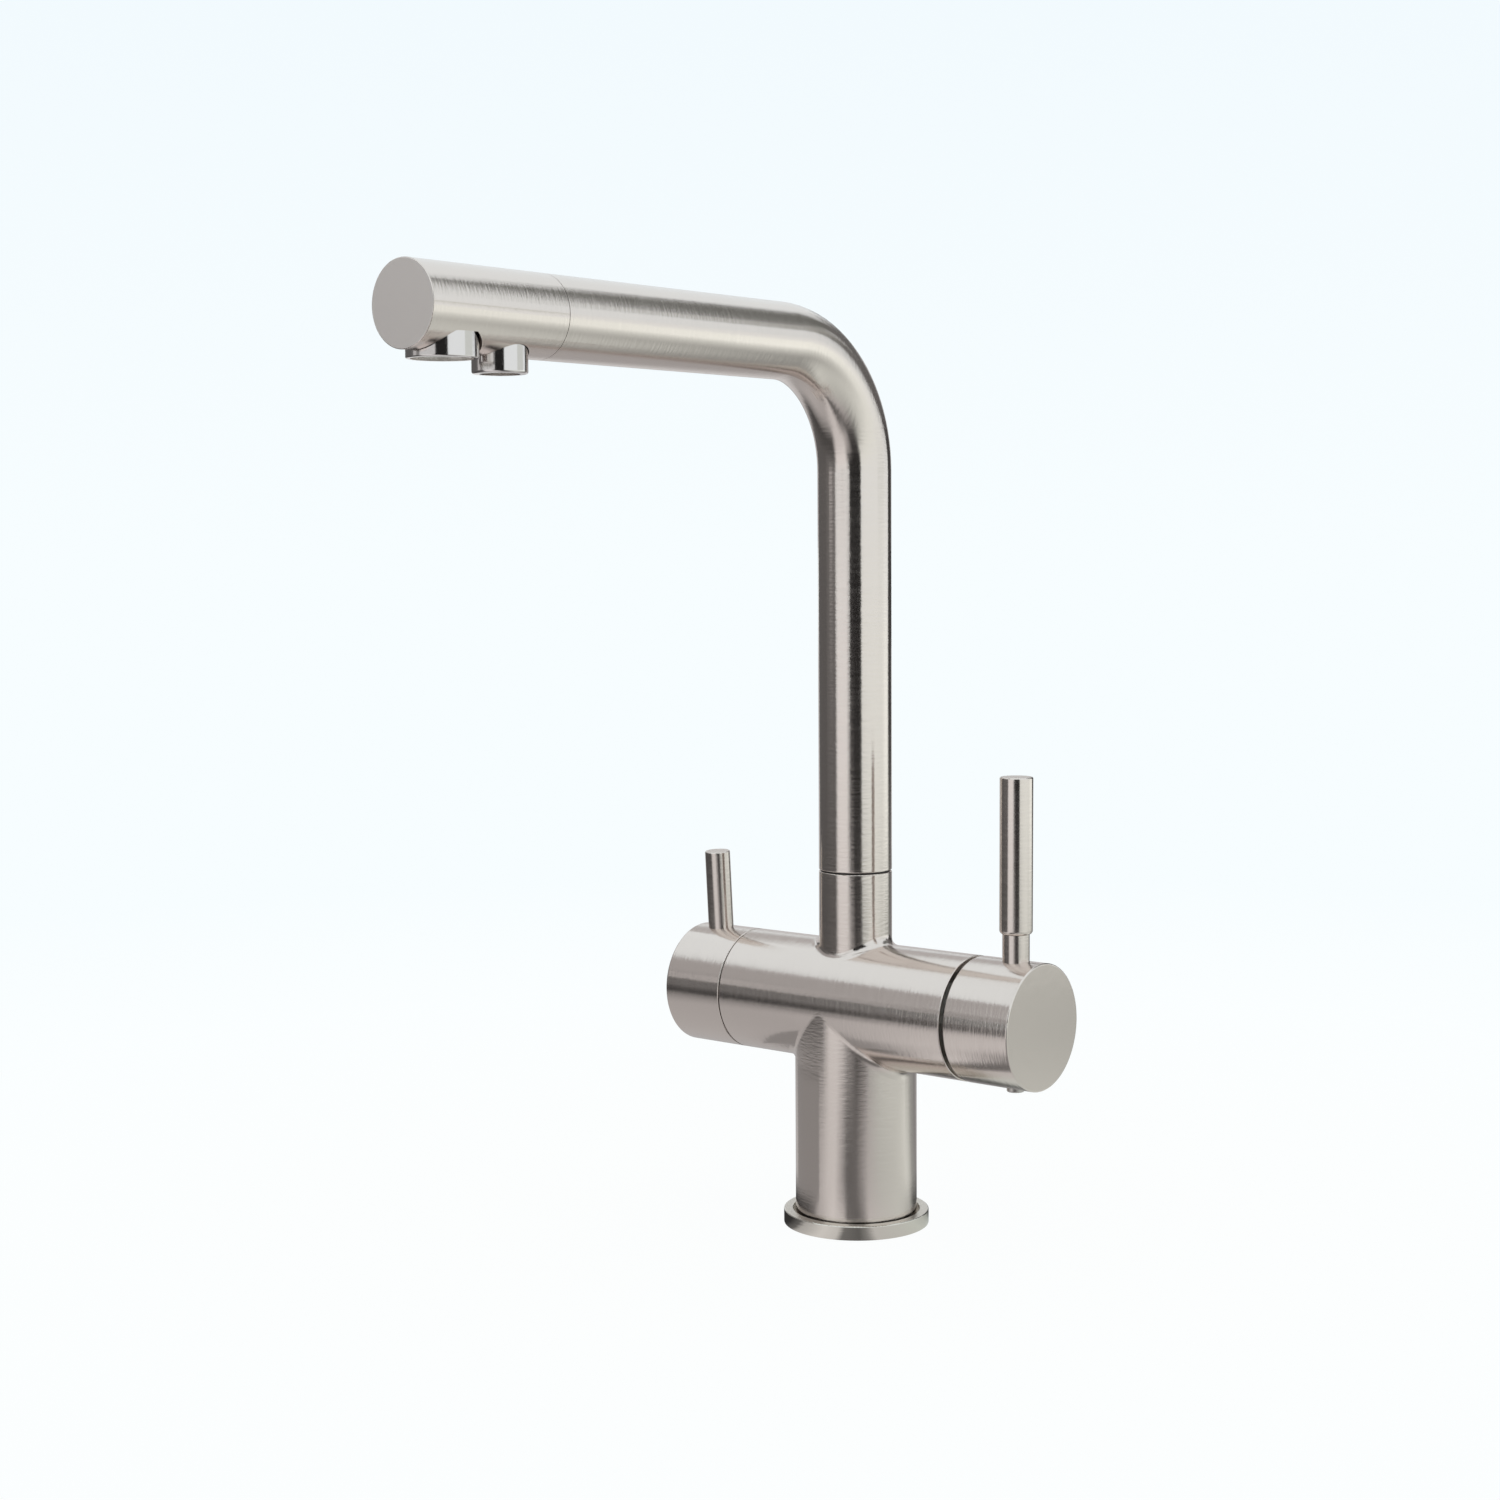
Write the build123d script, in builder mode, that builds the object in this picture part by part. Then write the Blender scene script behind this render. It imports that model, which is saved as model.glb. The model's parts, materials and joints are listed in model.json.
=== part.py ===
from build123d import *
import os
from math import cos, hypot, radians, sin, sqrt, tan

# Kitchen mixer tap with a second lever and a second outlet for filtered drinking water.
# Millimetres. The origin is the centre of the flange's underside and +Z is up. The spout
# points along -Y, the mixer handle is on the +X side and the filter handle on the -X side.

# Clearances and cuts
running_clearance = 0.05    # radial, between pieces that turn or slide in each other
seat_clearance = 0.05       # radial, round fixed pieces that are pushed or screwed in
face_clearance = 0.05       # axial, between faces that turn or slide on each other
overrun = 1.0               # how far a cut runs past the face that it opens

# Spout tube
tube_diameter = 28.0
tube_wall = 1.2
spout_height = 335.2        # worktop to the axis of the horizontal run
spout_reach = 227.5         # swivel axis to the flat end of the nozzle head
bend_radius = 46.0          # on the centreline

# Tap body, a casting of column, cross barrel and collar
barrel_diameter = 47.0
barrel_height = 86.1        # worktop to the barrel's axis
barrel_right = 55.3         # swivel axis to the end face on the mixer side
barrel_left = 49.4          # swivel axis to the end face on the filter side
column_step = 0.1           # the barrel's side stands this far outside the column's
column_wall = 3.5
column_junction = 4.0       # fillet between column and barrel
collar_height = 27.4        # fixed collar above the barrel's crown
collar_wall = 3.0
collar_junction = 3.5       # fillet between collar and barrel
collar_floor_rise = 15.0    # barrel axis to the floor of the collar's bore
core_depth = 18.0           # barrel axis down to the ceiling of the column's hollow
core_shoulder = 1.0         # ledge that the inlet block seats against
body_edge = 0.35            # broken edge on the barrel's and the collar's ends
waterway_radius = 3.5
port_circle_radius = 10.0   # swivel axis to the waterways, in column and cartridge alike
small_waterway_radius = 2.0

# Base flange and its seal
flange_diameter = 56.0
flange_thickness = 5.5
flange_ledge = 2.5          # metal under the column's foot
flange_groove = 1.2         # shadow groove round the column's foot
flange_upstand = 2.0        # ring that centres the column's foot
flange_upstand_wall = 1.5
flange_edge = 0.4
seal_width = 4.0
seal_depth = 1.5
seal_margin = 2.0           # flange rim outside the seal's groove

# Inlet block with the sockets for three hoses and two fixing studs
block_rise = 7.0            # worktop to the block's underside
block_thickness = 16.0
hose_socket_radius = 4.5    # M10x1 before tapping
hose_socket_depth = 10.0
stud_hole_radius = 2.5      # M6 before tapping
stud_hole_depth = 12.0
stud_circle_radius = 15.2
socket_bevel = 0.6

# Risers from the inlet block to the body
riser_radius = 5.0
riser_wall = 1.0
riser_lower_seat = 4.0
riser_upper_seat = 7.0

# Mixer cartridge, 35 mm size
cartridge_diameter = 35.0
cartridge_chamber_depth = 29.3    # from the barrel's end face
cartridge_base_thickness = 5.0
cartridge_wall = 1.9
cartridge_end_wall = 2.5
port_radius = 3.4
port_seal_section = 1.6
port_seal_squeeze = 0.1
fixed_disc_thickness = 3.0
moving_disc_radius = 8.6
moving_disc_thickness = 4.0
moving_disc_recess_radius = 3.2
moving_disc_recess_length = 8.3
moving_disc_recess_drop = 3.35
moving_disc_recess_depth = 2.4
inlet_port_radius = 1.9
inlet_port_side = 4.2       # disc's middle to each inlet port, across
inlet_port_rise = 4.0       # and upward
outlet_port_radius = 1.3
outlet_port_length = 4.6
outlet_port_drop = 1.6
channel_depth = 2.2         # channels in the base plate that lead to the disc's ports
carrier_thickness = 5.5
carrier_socket_radius = 3.0
carrier_socket_depth = 4.8
neck_wall = 2.4
neck_length = 9.0
nut_thread_radius = 18.2
nut_thread_length = 2.5
nut_hex_width = 28.0
nut_hex_length = 2.0

# Turret that turns with the mixer handle, and the spindle that tilts in its fork
turret_radius = 10.0
turret_flange_thickness = 1.8
turret_lead = 6.0           # closed neck ends this far before the pivot
pivot_lead = 11.2           # barrel's end face to the tilt pivot
pivot_radius = 2.0
pivot_end_margin = 0.5      # pin end below the turret's surface
fork_half_height = 5.0
spindle_ball_radius = 2.6
spindle_rod_radius = 1.8
spindle_width = 8.0
spindle_height = 9.0
spindle_lead = 4.0          # flat part of the spindle ahead of the pivot
spindle_side_clearance = 0.1
ball_slot_clearance = 0.3
ball_floor_room = 0.15      # ball to the floor of the carrier's socket
lever_tilt = 15.0           # degrees that the mixer handle tilts outward

# Mixer handle
mixer_gap = 1.7             # open gap between barrel and cap
mixer_cap_length = 28.0
cap_rim_wall = 2.0
cap_wall = 3.5
cap_rim_taper = 3.0
cap_cavity_lead = 0.5       # wide bore ends this far before the pivot
cap_fork_radius = 12.0      # inner bore round the fork
cap_fork_room = 1.3         # free space round the fork's rounded end
cap_rim_round = 0.7
cap_end_round = 0.6
spindle_socket_wall = 4.5   # between the spindle's socket and the cap's end face
spindle_socket_clearance = 0.05
mouth_lip = 0.7             # wall left at the barrel's right end
mouth_depth = 5.2           # taper that the cap's rim tucks into when it tilts
mouth_floor_room = 1.9      # taper's small end outside the nut's thread
lever_lead = 1.9            # fork's end to the mixer lever's axis
lever_shank_radius = 4.0
lever_shank_depth = 10.0
lever_seat_depth = 3.2      # neck sunk below the cap's crown
lever_neck_radius = 5.0
lever_step_height = 33.3    # barrel axis to the foot of the grip
lever_grip_radius = 6.1
lever_top_height = 90.9     # barrel axis to the lever's top
lever_core_radius = 4.2
lever_core_margin = 6.0     # grip closed above the stem
grip_foot_round = 1.5
grip_top_round = 0.6

# Screw that locks the mixer cap on its spindle, and the plug over it
lock_screw_radius = 2.5     # M5
lock_screw_length = 8.0
lock_screw_gap = 0.1        # tip to the spindle's flat
lock_hex_width = 2.5
lock_hex_depth = 2.5
plug_radius = 3.3
plug_seat_depth = 4.0
plug_proud = 1.5
plug_round = 0.5

# Filter valve, a quarter turn headwork with ceramic discs
filter_seat = 16.0          # swivel axis to the valve's seat
filter_chamber_radius = 9.6
filter_chamber_length = 15.0      # seat to thread
filter_thread_radius = 10.4
filter_passage_rise = 9.0   # barrel axis to the outlet passage
filter_passage_length = 6.0       # past the seat, along the chamber
valve_base_radius = 8.2
valve_seal_thickness = 1.6
valve_seal_wall = 2.6
valve_base_floor = 1.5
valve_inlet_radius = 4.0
valve_disc_radius = 7.0
valve_disc_thickness = 2.5
valve_disc_port_radius = 2.0
valve_disc_port_circle_radius = 3.9
valve_driver_thickness = 2.6
valve_window_width = 5.0
valve_window_length = 2.0
valve_collar_radius = 12.9
valve_collar_thickness = 1.2
valve_hex_width = 22.0
valve_hex_length = 5.0
valve_nose_radius = 7.0
valve_nose_length = 2.5
valve_ring_section = 1.8
filter_spindle_radius = 4.0
filter_square = 5.6
filter_square_lead = 1.9    # valve's nose to the squared end
filter_square_length = 11.0
insert_radius = 6.4
insert_floor = 0.5          # beyond the squared end

# Filter handle
filter_seam = 0.45          # line between barrel and cap
filter_cap_length = 27.05
filter_cap_cavity_length = 10.15
filter_lever_inset = 10.4   # cap's end face to the filter lever's axis
filter_lever_lean = 3.7     # degrees forward of upright, as it stands at rest
filter_lever_radius = 5.0
filter_lever_height = 54.0  # barrel axis to the lever's top
filter_lever_shank_radius = 3.5
filter_lever_shank_depth = 9.0
filter_lever_round = 0.5
filter_screw_radius = 2.0   # M4
filter_screw_length = 6.0
filter_screw_inset = 8.9    # cap's end face to the lock screw's axis
filter_hex_width = 2.0
filter_hex_depth = 2.0

# Swivel joint between collar and spout
swivel_gap = 0.6
bush_bore_radius = 7.5
bush_lift = 3.0             # free space under the bush, where the mixed water comes in
bush_tube_length = 14.0     # part brazed inside the tube
ring_section = 1.9          # diameter of the swivel O-rings
ring_groove_width = 2.6
ring_centres = (4.0, 9.0)   # heights above the bush's foot
screw_groove_width = 5.8
screw_groove_depth = 1.8
screw_land = 4.8            # upper O-ring's groove to the set screw's groove
guide_land = 3.1            # set screw's groove to the guide ring
guide_width = 4.0
guide_thickness = 0.8
washer_wall = 1.6
washer_inset = 0.8
set_screw_radius = 2.45     # M5
set_screw_tip_gap = 0.2
set_screw_sink = 0.8        # outer end below the collar's surface

# Inner hose that carries the filtered water up the spout
hose_radius = 3.2
hose_bore_radius = 2.2
tail_thread_radius = 3.2
tail_thread_length = 3.5
tail_hex_width = 8.0
tail_hex_length = 2.5
barb_count = 3
barb_pitch = 3.0
barb_root = 0.45            # depth of the barbs
tail_bore_radius = 1.3

# Nozzle head at the spout's end
nozzle_front_land = 4.0     # end face to the main outlet's recess
nozzle_outlet_land = 3.13   # between the two recesses
nozzle_rear_land = 8.53     # filter outlet's recess to the seam
nozzle_seam = 0.25
nozzle_spigot_length = 12.0
nozzle_end_round = 0.3
nozzle_ring_section = 1.8
nozzle_ring_inset = 5.0     # spigot's end to the O-ring's middle
duct_radius = 2.8
duct_offset = 5.5
duct_rise = 7.0
connector_socket_radius = 3.2
connector_socket_depth = 6.0
outlet_seat_drop = 8.0      # spout axis down to the roof of both outlet recesses

# Main outlet with its aerator
aerator_radius = 11.5
aerator_drop = 1.9          # below the tube's underside
aerator_recess = 0.8        # dark gap round the aerator
aerator_thread_radius = 10.95
aerator_thread_length = 5.5
aerator_rim = 1.5
aerator_chamber_radius = 8.0
aerator_insert_sink = 1.2
aerator_insert_thickness = 7.0
aerator_cell_radius = 1.1
aerator_cell_pitch = 2.6
aerator_grid_radius = 8.6
outlet_edge = 0.4
washer_thickness = 1.2

# Filtered water outlet
filter_outlet_radius = 9.07
filter_outlet_edge = 0.8
filter_outlet_drop = 5.4
filter_outlet_recess = 0.3
filter_outlet_thread_radius = 8.4
filter_outlet_thread_length = 4.5
filter_outlet_bore_radius = 6.5
filter_outlet_chamber_radius = 5.5
filter_chamber_rise = 3.2   # chamber's roof above the spout axis
straightener_sink = 2.0
straightener_thickness = 6.0
straightener_hole_radius = 1.3
straightener_circle_radius = 4.1

# Places that follow from the sizes above
tube_radius = tube_diameter / 2
tube_bore_radius = tube_radius - tube_wall
barrel_radius = barrel_diameter / 2
column_radius = barrel_radius - column_step
foot_bore_radius = column_radius - column_wall
swivel_height = barrel_height + barrel_radius + collar_height
spout_foot = swivel_height + swivel_gap
collar_bore_radius = tube_radius - collar_wall
collar_floor = barrel_height + collar_floor_rise
block_top = block_rise + block_thickness
core_ceiling = barrel_height - core_depth
aerator_room = aerator_radius + aerator_recess
filter_outlet_room = filter_outlet_radius + filter_outlet_recess
aerator_reach = spout_reach - nozzle_front_land - aerator_room
filter_reach = aerator_reach - aerator_room - nozzle_outlet_land - filter_outlet_room
nozzle_start = filter_reach - filter_outlet_room - nozzle_rear_land
tube_underside = spout_height - tube_radius
outlet_seat = spout_height - outlet_seat_drop
cartridge_floor = barrel_right - cartridge_chamber_depth
pivot_reach = barrel_right + pivot_lead
mixer_cap_end = barrel_right + mixer_gap + mixer_cap_length
cap_cavity_end = pivot_reach - cap_cavity_lead
spindle_socket_end = mixer_cap_end - spindle_socket_wall
lever_reach = pivot_reach + fork_half_height + lever_lead
filter_chamber_end = filter_seat + filter_chamber_length
filter_passage_end = filter_seat + filter_passage_length
filter_cap_start = barrel_left + filter_seam
filter_cap_end = filter_cap_start + filter_cap_length
filter_cap_cavity_end = filter_cap_start + filter_cap_cavity_length
filter_lever_reach = filter_cap_end - filter_lever_inset
filter_screw_reach = filter_cap_end - filter_screw_inset
screw_height = ring_centres[-1] + ring_groove_width / 2 + screw_land + screw_groove_width / 2
guide_centre = screw_height + screw_groove_width / 2 + guide_land + guide_width / 2
port_drop = port_circle_radius / 2
port_side = port_circle_radius * sqrt(3) / 2
barrel_axis = Axis((0, 0, barrel_height), (1, 0, 0))
mixer_section = Plane(origin=(0, 0, barrel_height), x_dir=(1, 0, 0), z_dir=(0, -1, 0))
filter_section = Plane(origin=(0, 0, barrel_height), x_dir=(-1, 0, 0), z_dir=(0, 1, 0))
spout_section = Plane(origin=(0, 0, 0), x_dir=(0, -1, 0), z_dir=(-1, 0, 0))


def mixer_plane(reach):
    """Plane square to the barrel on the mixer side, facing outward, with its y upward."""
    return Plane(origin=(reach, 0, barrel_height), x_dir=(0, 1, 0), z_dir=(1, 0, 0))


def filter_plane(reach):
    """Plane square to the barrel on the filter side, facing outward, with its y upward."""
    return Plane(origin=(-reach, 0, barrel_height), x_dir=(0, -1, 0), z_dir=(-1, 0, 0))


def lever_plane(x, turn, distance):
    """Plane facing away from the barrel's axis, turned forward from straight up by turn degrees."""
    away = (0, -sin(radians(turn)), cos(radians(turn)))
    return Plane(origin=(x, 0, barrel_height), x_dir=(1, 0, 0), z_dir=away).offset(distance)


def screw_plane(x, turn, distance):
    """Plane facing the other way, straight across the barrel's axis from the lever's plane."""
    across = lever_plane(x, turn, -distance)
    return Plane(origin=across.origin, x_dir=across.x_dir, z_dir=-across.z_dir)


def spout_plane(reach):
    """Plane square to the spout's horizontal run, facing forward, with its y upward."""
    return Plane(origin=(0, -reach, spout_height), x_dir=(1, 0, 0), z_dir=(0, -1, 0))


def outlet_plane(reach, height):
    """Level plane centred over an outlet."""
    return Plane.XY.offset(height).shift_origin((0, -reach, height))


os.makedirs("parts", exist_ok=True)

# Base flange: the ring under the column, with a ledge and an upstand for its foot
flange_radius = flange_diameter / 2
flange_bore_radius = foot_bore_radius - seat_clearance - flange_upstand_wall
seal_outer_radius = flange_radius - seal_margin
seal_inner_radius = seal_outer_radius - seal_width
with BuildPart() as base_flange:
    with BuildSketch(Plane.XY):
        Circle(flange_radius)
        Circle(flange_bore_radius, mode=Mode.SUBTRACT)
    extrude(amount=flange_thickness)
    with BuildSketch(Plane.XY.offset(flange_ledge)):
        Circle(column_radius + flange_groove)
        Circle(foot_bore_radius - seat_clearance, mode=Mode.SUBTRACT)
    extrude(amount=flange_thickness, mode=Mode.SUBTRACT)
    with BuildSketch(Plane.XY.offset(flange_ledge + flange_upstand)):
        Circle(foot_bore_radius)
    extrude(amount=flange_thickness, mode=Mode.SUBTRACT)
    with BuildSketch(Plane.XY):
        Circle(seal_outer_radius)
        Circle(seal_inner_radius, mode=Mode.SUBTRACT)
    extrude(amount=seal_depth, mode=Mode.SUBTRACT)
    outer_rims = base_flange.edges().filter_by(GeomType.CIRCLE).group_by(SortBy.RADIUS)[-1]
    fillet(outer_rims, flange_edge)
base_flange.part.label = "base_flange"
export_step(base_flange.part, "parts/base_flange.step")

# Base seal: the rubber ring in the flange's underside
with BuildPart() as base_seal:
    with BuildSketch(Plane.XY):
        Circle(seal_outer_radius - seat_clearance)
        Circle(seal_inner_radius + seat_clearance, mode=Mode.SUBTRACT)
    extrude(amount=seal_depth)
base_seal.part.label = "base_seal"
export_step(base_seal.part, "parts/base_seal.step")

# Inlet block: hose sockets and stud holes below, riser seats above
with BuildPart() as inlet_block:
    with BuildSketch(Plane.XY.offset(block_rise)):
        Circle(foot_bore_radius - seat_clearance)
    extrude(amount=block_thickness)
    with BuildSketch(Plane.XY.offset(block_rise)):
        with PolarLocations(port_circle_radius, 3, 60):
            Circle(hose_socket_radius)
    extrude(amount=hose_socket_depth, mode=Mode.SUBTRACT)
    with BuildSketch(Plane.XY.offset(block_rise)):
        with PolarLocations(port_circle_radius, 3, 60):
            Circle(waterway_radius)
    extrude(amount=block_thickness, mode=Mode.SUBTRACT)
    with BuildSketch(Plane.XY.offset(block_top - riser_lower_seat)):
        with PolarLocations(port_circle_radius, 3, 60):
            Circle(riser_radius + seat_clearance)
    extrude(amount=riser_lower_seat, mode=Mode.SUBTRACT)
    with BuildSketch(Plane.XY.offset(block_rise)):
        with PolarLocations(stud_circle_radius, 2, 120, 120, endpoint=True):
            Circle(stud_hole_radius)
    extrude(amount=stud_hole_depth, mode=Mode.SUBTRACT)
    mouths = inlet_block.faces().sort_by(Axis.Z)[0].inner_wires().edges()
    chamfer(mouths, socket_bevel)
inlet_block.part.label = "inlet_block"
export_step(inlet_block.part, "parts/inlet_block.step")

# Risers: three copper tubes brazed between the inlet block and the body
riser_bottom = block_top - riser_lower_seat
riser_top = core_ceiling + riser_upper_seat
riser_angles = {"cold_riser": 60, "filter_riser": 180, "hot_riser": 300}
for riser_name, riser_angle in riser_angles.items():
    with BuildPart() as riser:
        with BuildSketch(Plane.XY.offset(riser_bottom)):
            with PolarLocations(port_circle_radius, 1, riser_angle):
                Circle(riser_radius)
                Circle(riser_radius - riser_wall, mode=Mode.SUBTRACT)
        extrude(amount=riser_top - riser_bottom)
    riser.part.label = riser_name
    export_step(riser.part, f"parts/{riser_name}.step")

# Tap body: column, cross barrel and collar, with its chambers and waterways
chamber_radius = cartridge_diameter / 2 + seat_clearance
housing_foot = cartridge_floor + cartridge_base_thickness
disc_face = housing_foot + fixed_disc_thickness
carrier_foot = disc_face + face_clearance + moving_disc_thickness
turret_foot = carrier_foot + carrier_thickness + face_clearance
turret_shoulder = turret_foot + turret_flange_thickness
housing_shoulder = turret_shoulder + face_clearance + cartridge_end_wall
mouth_floor = barrel_right - mouth_depth
mouth_floor_radius = nut_thread_radius + mouth_floor_room
mixed_passage_end = small_waterway_radius + cartridge_end_wall
mixed_rise_reach = (collar_bore_radius + mixed_passage_end) / 2
mixed_rise_radius = (collar_bore_radius - mixed_passage_end) / 2 - seat_clearance
set_screw_height = collar_floor + bush_lift + screw_height
valve_ring_pocket = valve_ring_section + seat_clearance
with BuildPart() as tap_body:
    with BuildSketch(Plane.XY.offset(flange_ledge)):
        Circle(column_radius)
    extrude(amount=barrel_height - flange_ledge)
    with BuildSketch(mixer_plane(-barrel_left)):
        Circle(barrel_radius)
    extrude(amount=barrel_left + barrel_right)
    joins = tap_body.edges().filter_by(GeomType.LINE, reverse=True)
    fillet(joins.filter_by(GeomType.CIRCLE, reverse=True), column_junction)
    with BuildSketch(Plane.XY.offset(barrel_height)):
        Circle(tube_radius)
    extrude(amount=swivel_height - barrel_height)
    joins = tap_body.edges().filter_by(GeomType.LINE, reverse=True)
    fillet(joins.filter_by(GeomType.CIRCLE, reverse=True).sort_by(Axis.Z)[-1], collar_junction)
    end_faces = tap_body.faces().filter_by(GeomType.PLANE)
    barrel_ends = end_faces.sort_by(Axis.X)[0].edges() + end_faces.sort_by(Axis.X)[-1].edges()
    fillet(barrel_ends + end_faces.sort_by(Axis.Z)[-1].edges(), body_edge)

    # Hollow of the column
    with BuildSketch(Plane.XY.offset(flange_ledge)):
        Circle(foot_bore_radius)
    extrude(amount=block_top - flange_ledge, mode=Mode.SUBTRACT)
    with BuildSketch(Plane.XY.offset(flange_ledge)):
        Circle(foot_bore_radius - core_shoulder)
    extrude(amount=core_ceiling - flange_ledge, mode=Mode.SUBTRACT)
    with BuildSketch(Plane.XY.offset(core_ceiling)):
        with PolarLocations(port_circle_radius, 3, 60):
            Circle(riser_radius + seat_clearance)
    extrude(amount=riser_upper_seat, mode=Mode.SUBTRACT)

    # Hot and cold water, up and across to the cartridge
    with BuildSketch(Plane.XY.offset(core_ceiling)):
        with Locations((port_drop, -port_side), (port_drop, port_side)):
            Circle(waterway_radius)
    extrude(amount=core_depth - port_drop, mode=Mode.SUBTRACT)
    with BuildSketch(mixer_plane(port_drop - waterway_radius)):
        with Locations((-port_side, -port_drop), (port_side, -port_drop)):
            Circle(waterway_radius)
    extrude(amount=cartridge_floor - port_drop + waterway_radius, mode=Mode.SUBTRACT)

    # Mixed water, back from the cartridge and up into the collar
    with BuildSketch(mixer_plane(mixed_passage_end)):
        with Locations((0, port_circle_radius)):
            Circle(waterway_radius)
    extrude(amount=cartridge_floor - mixed_passage_end, mode=Mode.SUBTRACT)
    with BuildSketch(Plane.XY.offset(barrel_height + port_circle_radius)):
        with Locations((mixed_rise_reach, 0)):
            Circle(mixed_rise_radius)
    extrude(amount=collar_floor - barrel_height - port_circle_radius, mode=Mode.SUBTRACT)

    # Filtered water, up to the valve's seat and from its chamber to the collar's middle
    with BuildSketch(Plane.XY.offset(core_ceiling)):
        with Locations((-port_circle_radius, 0)):
            Circle(waterway_radius)
    extrude(amount=core_depth, mode=Mode.SUBTRACT)
    with BuildSketch(filter_plane(port_circle_radius - waterway_radius)):
        Circle(waterway_radius)
    extrude(amount=filter_seat - port_circle_radius + waterway_radius, mode=Mode.SUBTRACT)
    with BuildSketch(filter_plane(-small_waterway_radius)):
        with Locations((0, filter_passage_rise)):
            Circle(small_waterway_radius)
    extrude(amount=filter_passage_end + small_waterway_radius, mode=Mode.SUBTRACT)
    with BuildSketch(Plane.XY.offset(barrel_height + filter_passage_rise)):
        Circle(small_waterway_radius)
    extrude(amount=collar_floor_rise - filter_passage_rise, mode=Mode.SUBTRACT)
    with BuildSketch(Plane.XY.offset(collar_floor - tail_thread_length)):
        Circle(tail_thread_radius + seat_clearance)
    extrude(amount=tail_thread_length, mode=Mode.SUBTRACT)

    # Cartridge chamber with the nut's thread and the tapered mouth
    with BuildSketch(mixer_section):
        with BuildLine():
            Polyline(
                (cartridge_floor, 0),
                (cartridge_floor, chamber_radius),
                (housing_shoulder, chamber_radius),
                (housing_shoulder, nut_thread_radius + seat_clearance),
                (mouth_floor, nut_thread_radius + seat_clearance),
                (mouth_floor, mouth_floor_radius),
                (barrel_right, barrel_radius - mouth_lip),
                (barrel_right + overrun, barrel_radius - mouth_lip),
                (barrel_right + overrun, 0),
                close=True,
            )
        make_face()
    revolve(axis=barrel_axis, mode=Mode.SUBTRACT)

    # Filter valve chamber with its thread and the pocket for the valve's ring
    with BuildSketch(filter_section):
        with BuildLine():
            Polyline(
                (filter_seat, 0),
                (filter_seat, filter_chamber_radius),
                (filter_chamber_end, filter_chamber_radius),
                (filter_chamber_end, filter_thread_radius),
                (barrel_left - valve_ring_pocket, filter_thread_radius),
                (barrel_left - valve_ring_pocket, filter_thread_radius + valve_ring_pocket),
                (barrel_left + overrun, filter_thread_radius + valve_ring_pocket),
                (barrel_left + overrun, 0),
                close=True,
            )
        make_face()
    revolve(axis=barrel_axis, mode=Mode.SUBTRACT)

    # Collar's bore and the hole for the spout's set screw, at the back
    with BuildSketch(Plane.XY.offset(collar_floor)):
        Circle(collar_bore_radius)
    extrude(amount=swivel_height - collar_floor, mode=Mode.SUBTRACT)
    with BuildSketch(Plane.XZ.offset(-tube_radius - overrun)):
        with Locations((0, set_screw_height)):
            Circle(set_screw_radius + seat_clearance)
    extrude(amount=collar_wall + 2 * overrun, mode=Mode.SUBTRACT)
tap_body.part.label = "tap_body"
export_step(tap_body.part, "parts/tap_body.step")

# Cartridge base: a seal pocket at each waterway, and channels to the discs' ports
seal_pocket_radius = port_radius + port_seal_section
seal_pocket_depth = port_seal_section - port_seal_squeeze
with BuildPart() as cartridge_base:
    with BuildSketch(mixer_plane(cartridge_floor)):
        Circle(cartridge_diameter / 2)
        with PolarLocations(port_circle_radius, 3, 90):
            Circle(port_radius, mode=Mode.SUBTRACT)
    extrude(amount=cartridge_base_thickness)
    with BuildSketch(mixer_plane(cartridge_floor)):
        with PolarLocations(port_circle_radius, 3, 90):
            Circle(seal_pocket_radius)
    extrude(amount=seal_pocket_depth, mode=Mode.SUBTRACT)
    with BuildSketch(mixer_plane(housing_foot)):
        for side in (-1, 1):
            across = side * (port_side + inlet_port_side) / 2
            rise = (inlet_port_rise - port_drop) / 2
            inlet_port = (side * inlet_port_side, inlet_port_rise)
            SlotCenterPoint((across, rise), inlet_port, 2 * inlet_port_radius)
        outlet_middle = (port_circle_radius - outlet_port_drop) / 2
        SlotCenterPoint((0, outlet_middle), (0, port_circle_radius), 2 * outlet_port_radius)
    extrude(amount=-channel_depth, mode=Mode.SUBTRACT)
cartridge_base.part.label = "cartridge_base"
export_step(cartridge_base.part, "parts/cartridge_base.step")

# Cartridge port seals: a rubber ring in each pocket
with BuildPart() as cartridge_port_seals:
    with BuildSketch(mixer_plane(cartridge_floor)):
        with PolarLocations(port_circle_radius, 3, 90):
            Circle(seal_pocket_radius - seat_clearance)
            Circle(port_radius + seat_clearance, mode=Mode.SUBTRACT)
    extrude(amount=seal_pocket_depth - face_clearance)
cartridge_port_seals.part.label = "cartridge_port_seals"
export_step(cartridge_port_seals.part, "parts/cartridge_port_seals.step")

# Fixed ceramic disc of the mixer cartridge
housing_bore_radius = cartridge_diameter / 2 - cartridge_wall
with BuildPart() as cartridge_fixed_disc:
    with BuildSketch(mixer_plane(housing_foot)):
        Circle(housing_bore_radius - seat_clearance)
        for side in (-1, 1):
            with Locations((side * inlet_port_side, inlet_port_rise)):
                Circle(inlet_port_radius, mode=Mode.SUBTRACT)
        with Locations((0, -outlet_port_drop)):
            SlotOverall(
                outlet_port_length, 2 * outlet_port_radius, rotation=90, mode=Mode.SUBTRACT
            )
    extrude(amount=fixed_disc_thickness)
cartridge_fixed_disc.part.label = "cartridge_fixed_disc"
export_step(cartridge_fixed_disc.part, "parts/cartridge_fixed_disc.step")

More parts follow.
